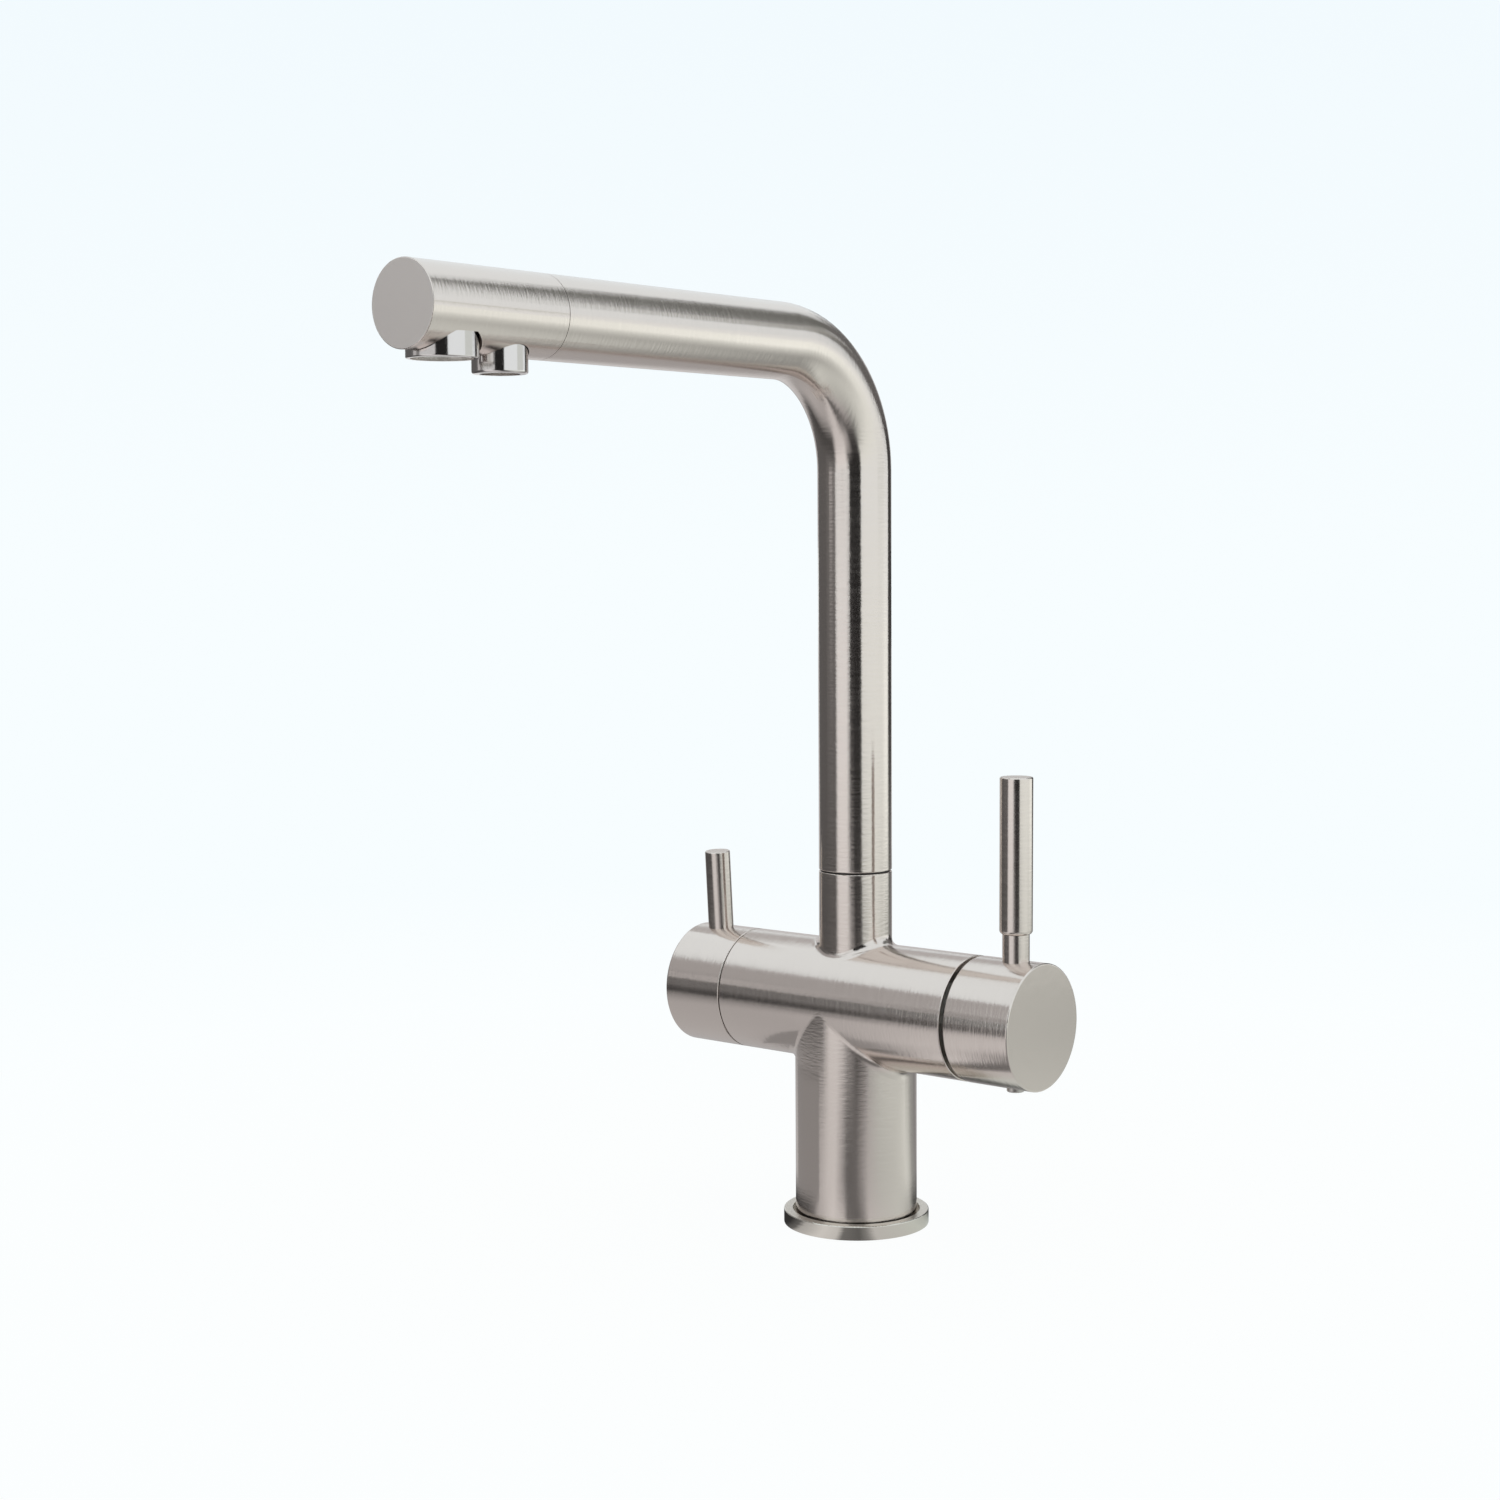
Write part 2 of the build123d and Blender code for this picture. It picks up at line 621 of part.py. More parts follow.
# Moving ceramic disc: its recess joins the outlet port to the inlet ports as it slides up
with BuildPart() as cartridge_moving_disc:
    with BuildSketch(mixer_plane(disc_face + face_clearance)):
        Circle(moving_disc_radius)
    extrude(amount=moving_disc_thickness)
    with BuildSketch(mixer_plane(disc_face + face_clearance)):
        with Locations((0, -moving_disc_recess_drop)):
            SlotOverall(moving_disc_recess_length, 2 * moving_disc_recess_radius, rotation=90)
    extrude(amount=moving_disc_recess_depth, mode=Mode.SUBTRACT)
cartridge_moving_disc.part.label = "cartridge_moving_disc"
export_step(cartridge_moving_disc.part, "parts/cartridge_moving_disc.step")

# Disc carrier: holds the moving disc and takes the spindle's ball
with BuildPart() as disc_carrier:
    with BuildSketch(mixer_plane(carrier_foot)):
        Circle(moving_disc_radius)
    extrude(amount=carrier_thickness)
    with BuildSketch(mixer_plane(carrier_foot + carrier_thickness)):
        Circle(carrier_socket_radius)
    extrude(amount=-carrier_socket_depth, mode=Mode.SUBTRACT)
disc_carrier.part.label = "disc_carrier"
export_step(disc_carrier.part, "parts/disc_carrier.step")

# Cartridge housing: the shell over the discs, with the neck that guides the turret
neck_bore_radius = turret_radius + running_clearance
neck_radius = neck_bore_radius + neck_wall
neck_end = housing_shoulder + neck_length
with BuildPart() as cartridge_housing:
    with BuildSketch(mixer_section):
        with BuildLine():
            Polyline(
                (housing_foot, housing_bore_radius),
                (housing_shoulder - cartridge_end_wall, housing_bore_radius),
                (housing_shoulder - cartridge_end_wall, neck_bore_radius),
                (neck_end, neck_bore_radius),
                (neck_end, neck_radius),
                (housing_shoulder, neck_radius),
                (housing_shoulder, cartridge_diameter / 2),
                (housing_foot, cartridge_diameter / 2),
                close=True,
            )
        make_face()
    revolve(axis=barrel_axis)
cartridge_housing.part.label = "cartridge_housing"
export_step(cartridge_housing.part, "parts/cartridge_housing.step")

# Cartridge nut: holds the cartridge down in its chamber
with BuildPart() as cartridge_nut:
    with BuildSketch(mixer_plane(housing_shoulder)):
        Circle(nut_thread_radius)
    extrude(amount=nut_thread_length)
    with BuildSketch(mixer_plane(housing_shoulder + nut_thread_length)):
        RegularPolygon(nut_hex_width / 2, 6, major_radius=False)
    extrude(amount=nut_hex_length)
    with BuildSketch(mixer_plane(housing_shoulder)):
        Circle(neck_radius + seat_clearance)
    extrude(amount=nut_thread_length + nut_hex_length, mode=Mode.SUBTRACT)
cartridge_nut.part.label = "cartridge_nut"
export_step(cartridge_nut.part, "parts/cartridge_nut.step")

# Turret: turns in the neck and carries the pivot in its fork
slot_half_width = spindle_ball_radius + ball_slot_clearance
slot_top = (pivot_reach - turret_foot) * tan(radians(lever_tilt)) + slot_half_width
fork_end = pivot_reach + fork_half_height
neck_stop = pivot_reach - turret_lead
with BuildPart() as mixer_turret:
    with BuildSketch(mixer_plane(turret_foot)):
        Circle(housing_bore_radius - running_clearance)
    extrude(amount=turret_flange_thickness)
    with BuildSketch(mixer_plane(turret_foot)):
        Circle(turret_radius)
    extrude(amount=fork_end - turret_foot)
    with BuildSketch(mixer_section):
        with Locations(((turret_foot + neck_stop) / 2, 0)):
            Rectangle(neck_stop - turret_foot, cartridge_diameter)
        with Locations(((neck_stop + pivot_reach) / 2, 0)):
            Rectangle(turret_lead, 2 * fork_half_height)
        with Locations((pivot_reach, 0)):
            Circle(fork_half_height)
    extrude(amount=cartridge_diameter, both=True, mode=Mode.INTERSECT)
    with BuildSketch(mixer_plane(neck_stop)):
        Rectangle(spindle_width + 2 * spindle_side_clearance, cartridge_diameter)
    extrude(amount=fork_end - neck_stop, mode=Mode.SUBTRACT)
    with BuildSketch(mixer_plane(turret_foot)):
        with Locations((0, (slot_top - slot_half_width) / 2)):
            Rectangle(2 * slot_half_width, slot_top + slot_half_width)
    extrude(amount=neck_stop - turret_foot, mode=Mode.SUBTRACT)
    with BuildSketch(mixer_section):
        with Locations((pivot_reach, 0)):
            Circle(pivot_radius)
    extrude(amount=cartridge_diameter, both=True, mode=Mode.SUBTRACT)
mixer_turret.part.label = "mixer_turret"
export_step(mixer_turret.part, "parts/mixer_turret.step")

# Pivot pin through the turret's fork
with BuildPart() as pivot_pin:
    with BuildSketch(mixer_section):
        with Locations((pivot_reach, 0)):
            Circle(pivot_radius)
    extrude(amount=turret_radius - pivot_end_margin, both=True)
pivot_pin.part.label = "pivot_pin"
export_step(pivot_pin.part, "parts/pivot_pin.step")

# Mixer spindle: ball, rod and the flat bar that the cap is locked on
bar_start = pivot_reach - spindle_lead
bar_end = spindle_socket_end - spindle_side_clearance
carrier_end = carrier_foot + carrier_thickness
ball_reach = carrier_end - carrier_socket_depth + spindle_ball_radius + ball_floor_room
with BuildPart() as mixer_spindle:
    with BuildSketch(mixer_section):
        with Locations(((bar_start + bar_end) / 2, 0)):
            Rectangle(bar_end - bar_start, spindle_height)
    extrude(amount=spindle_width / 2, both=True)
    with BuildSketch(mixer_plane(ball_reach)):
        Circle(spindle_rod_radius)
    extrude(amount=bar_start - ball_reach)
    with Locations((ball_reach, 0, barrel_height)):
        Sphere(spindle_ball_radius)
    with BuildSketch(mixer_section):
        with Locations((pivot_reach, 0)):
            Circle(pivot_radius + running_clearance)
    extrude(amount=spindle_width, both=True, mode=Mode.SUBTRACT)
mixer_spindle.part.label = "mixer_spindle"
export_step(mixer_spindle.part, "parts/mixer_spindle.step")

# Mixer handle cap: closed outer end, bored for the fork and socketed for the spindle
cap_start = barrel_right + mixer_gap
cap_bore_radius = barrel_radius - cap_wall
cap_floor = fork_end + cap_fork_room
lever_seat_radius = barrel_radius - lever_seat_depth
plug_seat_radius = barrel_radius - plug_seat_depth
with BuildPart() as mixer_handle_cap:
    with BuildSketch(mixer_section):
        with BuildLine():
            Polyline(
                (cap_start, barrel_radius),
                (cap_start, barrel_radius - cap_rim_wall),
                (cap_start + cap_rim_taper, cap_bore_radius),
                (cap_cavity_end, cap_bore_radius),
                (cap_cavity_end, cap_fork_radius),
                (cap_floor, cap_fork_radius),
                (cap_floor, 0),
                (mixer_cap_end, 0),
                (mixer_cap_end, barrel_radius),
                close=True,
            )
        make_face()
    revolve(axis=barrel_axis)
    rims = mixer_handle_cap.edges().filter_by(GeomType.CIRCLE).group_by(SortBy.RADIUS)[-1]
    fillet(rims.sort_by(Axis.X)[0], cap_rim_round)
    rims = mixer_handle_cap.edges().filter_by(GeomType.CIRCLE).group_by(SortBy.RADIUS)[-1]
    fillet(rims.sort_by(Axis.X)[-1], cap_end_round)
    with BuildSketch(mixer_plane(cap_floor)):
        Rectangle(
            spindle_width + 2 * spindle_socket_clearance,
            spindle_height + 2 * spindle_socket_clearance,
        )
    extrude(amount=spindle_socket_end - cap_floor, mode=Mode.SUBTRACT)
    with BuildSketch(lever_plane(lever_reach, 0, lever_seat_radius - lever_shank_depth)):
        Circle(lever_shank_radius)
    extrude(amount=lever_shank_depth, mode=Mode.SUBTRACT)
    with BuildSketch(lever_plane(lever_reach, 0, lever_seat_radius)):
        Circle(lever_neck_radius + seat_clearance)
    extrude(amount=lever_seat_depth + overrun, mode=Mode.SUBTRACT)
    with BuildSketch(screw_plane(lever_reach, 0, spindle_height / 2)):
        Circle(lock_screw_radius)
    extrude(amount=barrel_radius, mode=Mode.SUBTRACT)
    with BuildSketch(screw_plane(lever_reach, 0, plug_seat_radius)):
        Circle(plug_radius)
    extrude(amount=plug_seat_depth + overrun, mode=Mode.SUBTRACT)
mixer_handle_cap.part.label = "mixer_handle_cap"
export_step(mixer_handle_cap.part, "parts/mixer_handle_cap.step")

# Mixer lever stem: shank in the cap, visible neck, and the core inside the grip
core_top = lever_top_height - lever_core_margin
with BuildPart() as mixer_lever_stem:
    with BuildSketch(lever_plane(lever_reach, 0, lever_seat_radius - lever_shank_depth)):
        Circle(lever_shank_radius - seat_clearance)
    extrude(amount=lever_shank_depth)
    with BuildSketch(lever_plane(lever_reach, 0, lever_seat_radius)):
        Circle(lever_neck_radius)
    extrude(amount=lever_step_height - lever_seat_radius)
    with BuildSketch(lever_plane(lever_reach, 0, lever_step_height)):
        Circle(lever_core_radius)
    extrude(amount=core_top - lever_step_height)
mixer_lever_stem.part.label = "mixer_lever_stem"
export_step(mixer_lever_stem.part, "parts/mixer_lever_stem.step")

# Mixer lever grip: the thicker sleeve pushed over the stem
with BuildPart() as mixer_lever_grip:
    with BuildSketch(lever_plane(lever_reach, 0, lever_step_height)):
        Circle(lever_grip_radius)
    extrude(amount=lever_top_height - lever_step_height)
    fillet(mixer_lever_grip.edges().sort_by(Axis.Z)[0], grip_foot_round)
    fillet(mixer_lever_grip.edges().sort_by(Axis.Z)[-1], grip_top_round)
    with BuildSketch(lever_plane(lever_reach, 0, lever_step_height)):
        Circle(lever_core_radius + seat_clearance)
    extrude(amount=core_top + seat_clearance - lever_step_height, mode=Mode.SUBTRACT)
mixer_lever_grip.part.label = "mixer_lever_grip"
export_step(mixer_lever_grip.part, "parts/mixer_lever_grip.step")

# Lock screw: the grub screw that holds the cap on the spindle's bar
lock_screw_foot = spindle_height / 2 + lock_screw_gap
with BuildPart() as mixer_lock_screw:
    with BuildSketch(screw_plane(lever_reach, 0, lock_screw_foot)):
        Circle(lock_screw_radius - seat_clearance)
    extrude(amount=lock_screw_length)
    with BuildSketch(screw_plane(lever_reach, 0, lock_screw_foot + lock_screw_length)):
        RegularPolygon(lock_hex_width / 2, 6, major_radius=False)
    extrude(amount=-lock_hex_depth, mode=Mode.SUBTRACT)
mixer_lock_screw.part.label = "mixer_lock_screw"
export_step(mixer_lock_screw.part, "parts/mixer_lock_screw.step")

# Screw plug: the round button that closes the screw's hole under the cap
with BuildPart() as mixer_screw_plug:
    with BuildSketch(screw_plane(lever_reach, 0, plug_seat_radius)):
        Circle(plug_radius - seat_clearance)
    extrude(amount=plug_seat_depth + plug_proud)
    fillet(mixer_screw_plug.edges().sort_by(Axis.Z)[0], plug_round)
mixer_screw_plug.part.label = "mixer_screw_plug"
export_step(mixer_screw_plug.part, "parts/mixer_screw_plug.step")

# Filter valve body: threaded headwork with a hexagon, windows and the disc pocket
valve_foot = filter_seat + valve_seal_thickness
fixed_disc_foot = valve_foot + valve_base_floor
moving_disc_foot = fixed_disc_foot + valve_disc_thickness + face_clearance
driver_foot = moving_disc_foot + valve_disc_thickness
driver_end = driver_foot + valve_driver_thickness
valve_hex_foot = barrel_left + valve_collar_thickness
valve_nose_foot = valve_hex_foot + valve_hex_length
with BuildPart() as filter_valve_body:
    with BuildSketch(filter_plane(valve_foot)):
        Circle(valve_base_radius)
    extrude(amount=filter_chamber_end - valve_foot)
    with BuildSketch(filter_plane(filter_chamber_end)):
        Circle(filter_thread_radius - seat_clearance)
    extrude(amount=barrel_left - filter_chamber_end)
    with BuildSketch(filter_plane(barrel_left)):
        Circle(valve_collar_radius)
    extrude(amount=valve_collar_thickness)
    with BuildSketch(filter_plane(valve_hex_foot)):
        RegularPolygon(valve_hex_width / 2, 6, major_radius=False)
    extrude(amount=valve_hex_length)
    with BuildSketch(filter_plane(valve_nose_foot)):
        Circle(valve_nose_radius)
    extrude(amount=valve_nose_length)
    with BuildSketch(filter_plane(valve_foot)):
        Circle(valve_inlet_radius)
    extrude(amount=valve_base_floor, mode=Mode.SUBTRACT)
    with BuildSketch(filter_plane(fixed_disc_foot)):
        Circle(valve_disc_radius + seat_clearance)
    extrude(amount=driver_end + face_clearance - fixed_disc_foot, mode=Mode.SUBTRACT)
    with BuildSketch(filter_plane(driver_end)):
        Circle(filter_spindle_radius + running_clearance)
    extrude(amount=valve_nose_foot + valve_nose_length - driver_end, mode=Mode.SUBTRACT)
    with BuildSketch(filter_plane(driver_foot)):
        Rectangle(valve_window_width, 2 * filter_thread_radius)
        Rectangle(2 * filter_thread_radius, valve_window_width)
    extrude(amount=valve_window_length, mode=Mode.SUBTRACT)
filter_valve_body.part.label = "filter_valve_body"
export_step(filter_valve_body.part, "parts/filter_valve_body.step")

# Filter seat seal: the rubber ring between the valve and its seat
with BuildPart() as filter_seat_seal:
    with BuildSketch(filter_plane(filter_seat)):
        Circle(valve_inlet_radius + valve_seal_wall)
        Circle(valve_inlet_radius, mode=Mode.SUBTRACT)
    extrude(amount=valve_seal_thickness)
filter_seat_seal.part.label = "filter_seat_seal"
export_step(filter_seat_seal.part, "parts/filter_seat_seal.step")

# Filter valve ring: the O-ring under the valve's collar
ring_reach = barrel_left - valve_ring_pocket / 2
with BuildPart() as filter_valve_ring:
    with BuildSketch(filter_section):
        with Locations((ring_reach, filter_thread_radius + valve_ring_pocket / 2)):
            Circle(valve_ring_section / 2)
    revolve(axis=barrel_axis)
filter_valve_ring.part.label = "filter_valve_ring"
export_step(filter_valve_ring.part, "parts/filter_valve_ring.step")

# Ceramic discs of the filter valve, each with two ports
disc_feet = {"filter_fixed_disc": fixed_disc_foot, "filter_moving_disc": moving_disc_foot}
disc_turns = {"filter_fixed_disc": 0, "filter_moving_disc": 90}
for disc_name, disc_foot in disc_feet.items():
    with BuildPart() as disc:
        with BuildSketch(filter_plane(disc_foot)):
            Circle(valve_disc_radius)
            with PolarLocations(valve_disc_port_circle_radius, 2, disc_turns[disc_name]):
                Circle(valve_disc_port_radius, mode=Mode.SUBTRACT)
        extrude(amount=valve_disc_thickness)
    disc.part.label = disc_name
    export_step(disc.part, f"parts/{disc_name}.step")

# Filter spindle: driver behind the moving disc, round shaft and squared end
filter_square_start = valve_nose_foot + valve_nose_length + filter_square_lead
filter_spindle_end = filter_square_start + filter_square_length
with BuildPart() as filter_spindle:
    with BuildSketch(filter_plane(driver_foot)):
        Circle(valve_disc_radius - running_clearance)
    extrude(amount=valve_driver_thickness)
    with BuildSketch(filter_plane(driver_end)):
        Circle(filter_spindle_radius)
    extrude(amount=filter_square_start - driver_end)
    with BuildSketch(filter_plane(filter_square_start)):
        Rectangle(filter_square, filter_square, rotation=filter_lever_lean)
    extrude(amount=filter_spindle_end - filter_square_start)
    with BuildSketch(filter_plane(driver_foot)):
        Rectangle(valve_window_width, 2 * filter_thread_radius)
        Circle(filter_spindle_radius, mode=Mode.SUBTRACT)
    extrude(amount=valve_window_length, mode=Mode.SUBTRACT)
filter_spindle.part.label = "filter_spindle"
export_step(filter_spindle.part, "parts/filter_spindle.step")

# Drive insert: the plastic bush between the squared end and the cap
insert_start = filter_cap_cavity_end + insert_floor
insert_end = filter_spindle_end + insert_floor
with BuildPart() as filter_drive_insert:
    with BuildSketch(filter_plane(insert_start)):
        Circle(insert_radius)
    extrude(amount=insert_end - insert_start)
    with BuildSketch(filter_plane(insert_start)):
        Rectangle(
            filter_square + 2 * seat_clearance,
            filter_square + 2 * seat_clearance,
            rotation=filter_lever_lean,
        )
    extrude(amount=filter_spindle_end + seat_clearance - insert_start, mode=Mode.SUBTRACT)
filter_drive_insert.part.label = "filter_drive_insert"
export_step(filter_drive_insert.part, "parts/filter_drive_insert.step")

# Filter handle cap
filter_lever_seat = barrel_radius - lever_seat_depth
with BuildPart() as filter_handle_cap:
    with BuildSketch(filter_section):
        with BuildLine():
            Polyline(
                (filter_cap_start, barrel_radius),
                (filter_cap_start, cap_bore_radius),
                (filter_cap_cavity_end, cap_bore_radius),
                (filter_cap_cavity_end, insert_radius + seat_clearance),
                (insert_end + seat_clearance, insert_radius + seat_clearance),
                (insert_end + seat_clearance, 0),
                (filter_cap_end, 0),
                (filter_cap_end, barrel_radius),
                close=True,
            )
        make_face()
    revolve(axis=barrel_axis)
    rims = filter_handle_cap.edges().filter_by(GeomType.CIRCLE).group_by(SortBy.RADIUS)[-1]
    fillet(rims.sort_by(Axis.X)[-1], body_edge)
    rims = filter_handle_cap.edges().filter_by(GeomType.CIRCLE).group_by(SortBy.RADIUS)[-1]
    fillet(rims.sort_by(Axis.X)[0], cap_end_round)
    shank_foot = filter_lever_seat - filter_lever_shank_depth
    with BuildSketch(lever_plane(-filter_lever_reach, filter_lever_lean, shank_foot)):
        Circle(filter_lever_shank_radius)
    extrude(amount=filter_lever_shank_depth, mode=Mode.SUBTRACT)
    with BuildSketch(lever_plane(-filter_lever_reach, filter_lever_lean, filter_lever_seat)):
        Circle(filter_lever_radius + seat_clearance)
    extrude(amount=lever_seat_depth + overrun, mode=Mode.SUBTRACT)
    with BuildSketch(screw_plane(-filter_screw_reach, filter_lever_lean, insert_radius)):
        Circle(filter_screw_radius)
    extrude(amount=barrel_radius, mode=Mode.SUBTRACT)
filter_handle_cap.part.label = "filter_handle_cap"
export_step(filter_handle_cap.part, "parts/filter_handle_cap.step")

# Filter lever: one plain turned pin
with BuildPart() as filter_lever:
    with BuildSketch(lever_plane(-filter_lever_reach, filter_lever_lean, shank_foot)):
        Circle(filter_lever_shank_radius - seat_clearance)
    extrude(amount=filter_lever_shank_depth)
    with BuildSketch(lever_plane(-filter_lever_reach, filter_lever_lean, filter_lever_seat)):
        Circle(filter_lever_radius)
    extrude(amount=filter_lever_height - filter_lever_seat)
    fillet(filter_lever.edges().sort_by(Axis.Z)[-1], filter_lever_round)
filter_lever.part.label = "filter_lever"
export_step(filter_lever.part, "parts/filter_lever.step")

# Lock screw of the filter handle
filter_screw_foot = insert_radius + seat_clearance
filter_screw_head = filter_screw_foot + filter_screw_length
with BuildPart() as filter_lock_screw:
    with BuildSketch(screw_plane(-filter_screw_reach, filter_lever_lean, filter_screw_foot)):
        Circle(filter_screw_radius - seat_clearance)
    extrude(amount=filter_screw_length)
    with BuildSketch(screw_plane(-filter_screw_reach, filter_lever_lean, filter_screw_head)):
        RegularPolygon(filter_hex_width / 2, 6, major_radius=False)
    extrude(amount=-filter_hex_depth, mode=Mode.SUBTRACT)
filter_lock_screw.part.label = "filter_lock_screw"
export_step(filter_lock_screw.part, "parts/filter_lock_screw.step")

# Spout tube: upright, one bend, and the horizontal run
bend_foot = spout_height - bend_radius
tube_end = nozzle_start - nozzle_seam
with BuildPart() as spout_tube:
    with BuildLine(spout_section) as tube_path:
        Line((0, spout_foot), (0, bend_foot))
        TangentArc((0, bend_foot), (bend_radius, spout_height), tangent=(0, 1))
        Line((bend_radius, spout_height), (tube_end, spout_height))
    with BuildSketch(Plane.XY.offset(spout_foot)):
        Circle(tube_radius)
        Circle(tube_bore_radius, mode=Mode.SUBTRACT)
    sweep(path=tube_path.wires()[0])
    foot_rim = spout_tube.edges().filter_by(GeomType.CIRCLE).group_by(Axis.Z)[0]
    fillet(foot_rim.sort_by(SortBy.RADIUS)[-1], body_edge)
spout_tube.part.label = "spout_tube"
export_step(spout_tube.part, "parts/spout_tube.step")

# Spout bush: the brass spigot that turns in the collar, brazed into the tube
bush_foot = collar_floor + bush_lift
bush_radius = collar_bore_radius - running_clearance
ring_groove_radius = bush_radius - ring_section - seat_clearance
bush_top = spout_foot + bush_tube_length
with BuildPart() as spout_bush:
    with BuildSketch(Plane.XY.offset(bush_foot)):
        Circle(bush_radius)
    extrude(amount=spout_foot - bush_foot)
    with BuildSketch(Plane.XY.offset(spout_foot)):
        Circle(tube_bore_radius - seat_clearance)
    extrude(amount=bush_tube_length)
    with BuildSketch(Plane.XY.offset(bush_foot)):
        Circle(bush_bore_radius)
    extrude(amount=bush_top - bush_foot, mode=Mode.SUBTRACT)
    for centre in ring_centres:
        with BuildSketch(Plane.XY.offset(bush_foot + centre - ring_groove_width / 2)):
            Circle(collar_bore_radius)
            Circle(ring_groove_radius, mode=Mode.SUBTRACT)
        extrude(amount=ring_groove_width, mode=Mode.SUBTRACT)
    with BuildSketch(Plane.XY.offset(bush_foot + screw_height - screw_groove_width / 2)):
        Circle(collar_bore_radius)
        Circle(bush_radius - screw_groove_depth, mode=Mode.SUBTRACT)
    extrude(amount=screw_groove_width, mode=Mode.SUBTRACT)
    with BuildSketch(Plane.XY.offset(bush_foot + guide_centre - guide_width / 2)):
        Circle(collar_bore_radius)
        Circle(bush_radius - guide_thickness, mode=Mode.SUBTRACT)
    extrude(amount=guide_width, mode=Mode.SUBTRACT)
spout_bush.part.label = "spout_bush"
export_step(spout_bush.part, "parts/spout_bush.step")

# Swivel rings: two O-rings in the bush's lower grooves
with BuildPart() as swivel_rings:
    with BuildSketch(Plane.XZ):
        for centre in ring_centres:
            with Locations((bush_radius - ring_section / 2, bush_foot + centre)):
                Circle(ring_section / 2)
    revolve(axis=Axis.Z)
swivel_rings.part.label = "swivel_rings"
export_step(swivel_rings.part, "parts/swivel_rings.step")

# Guide ring: the plastic bearing ring near the collar's top
with BuildPart() as swivel_guide_ring:
    guide_foot = bush_foot + guide_centre - guide_width / 2
    with BuildSketch(Plane.XY.offset(guide_foot + face_clearance)):
        Circle(bush_radius)
        Circle(bush_radius - guide_thickness + seat_clearance, mode=Mode.SUBTRACT)
    extrude(amount=guide_width - 2 * face_clearance)
swivel_guide_ring.part.label = "swivel_guide_ring"
export_step(swivel_guide_ring.part, "parts/swivel_guide_ring.step")

# Swivel washer: the dark plastic ring that shows as a line between collar and tube
washer_outer_radius = tube_radius - washer_inset
with BuildPart() as swivel_washer:
    with BuildSketch(Plane.XY.offset(swivel_height + face_clearance)):
        Circle(washer_outer_radius)
        Circle(washer_outer_radius - washer_wall, mode=Mode.SUBTRACT)
    extrude(amount=swivel_gap - face_clearance)
swivel_washer.part.label = "swivel_washer"
export_step(swivel_washer.part, "parts/swivel_washer.step")

# Spout set screw: from the back of the collar into the bush's groove
set_screw_tip = bush_radius - screw_groove_depth + set_screw_tip_gap
set_screw_head = tube_radius - set_screw_sink
with BuildPart() as spout_set_screw:
    with BuildSketch(Plane.XZ.offset(-set_screw_head)):
        with Locations((0, set_screw_height)):
            Circle(set_screw_radius)
    extrude(amount=set_screw_head - set_screw_tip)
    with BuildSketch(Plane.XZ.offset(-set_screw_head)):
        with Locations((0, set_screw_height)):
            RegularPolygon(lock_hex_width / 2, 6, major_radius=False)
    extrude(amount=(set_screw_head - set_screw_tip) / 2, mode=Mode.SUBTRACT)
spout_set_screw.part.label = "spout_set_screw"
export_step(spout_set_screw.part, "parts/spout_set_screw.step")


def barbed_tail(hex_start, thread_end):
    """Half section of a hose tail: points of thread, hexagon's core and barbs, along its axis."""
    barb_radius = hose_bore_radius - running_clearance
    root_radius = barb_radius - barb_root
    points = [(tail_bore_radius, thread_end), (tail_thread_radius, thread_end)]
    points += [(tail_thread_radius, hex_start), (tail_thread_radius, hex_start + tail_hex_length)]
    height = hex_start + tail_hex_length
    for barb in range(barb_count):
        points += [(barb_radius, height), (root_radius, height + barb_pitch)]
        height += barb_pitch
    points += [(tail_bore_radius, height)]
    return points


# Hose tail: fixed in the middle of the collar's floor, under the inner hose
tail_length = tail_hex_length + barb_count * barb_pitch
with BuildPart() as hose_tail:
    with BuildSketch(Plane.XZ):
        with BuildLine():
            Polyline(
                *barbed_tail(collar_floor, collar_floor - tail_thread_length),
                close=True,
            )
        make_face()
    revolve(axis=Axis.Z)
    with BuildSketch(Plane.XY.offset(collar_floor)):
        RegularPolygon(tail_hex_width / 2, 6, major_radius=False)
        Circle(tail_bore_radius, mode=Mode.SUBTRACT)
    extrude(amount=tail_hex_length)
hose_tail.part.label = "hose_tail"
export_step(hose_tail.part, "parts/hose_tail.step")

# Hose connector: the same tail turned to face back along the spout, screwed into the nozzle
connector_face = nozzle_start - nozzle_spigot_length
connector_section = Plane.XY.shift_origin((0, -connector_face, 0)).offset(spout_height)
connector_axis = Axis((0, -connector_face, spout_height), (0, 1, 0))
with BuildPart() as hose_connector:
    with BuildSketch(connector_section):
        with BuildLine():
            Polyline(*barbed_tail(0, -connector_socket_depth), close=True)
        make_face()
    revolve(axis=connector_axis)
    with BuildSketch(spout_plane(connector_face)):
        RegularPolygon(tail_hex_width / 2, 6, major_radius=False)
        Circle(tail_bore_radius, mode=Mode.SUBTRACT)
    extrude(amount=-tail_hex_length)
hose_connector.part.label = "hose_connector"
export_step(hose_connector.part, "parts/hose_connector.step")

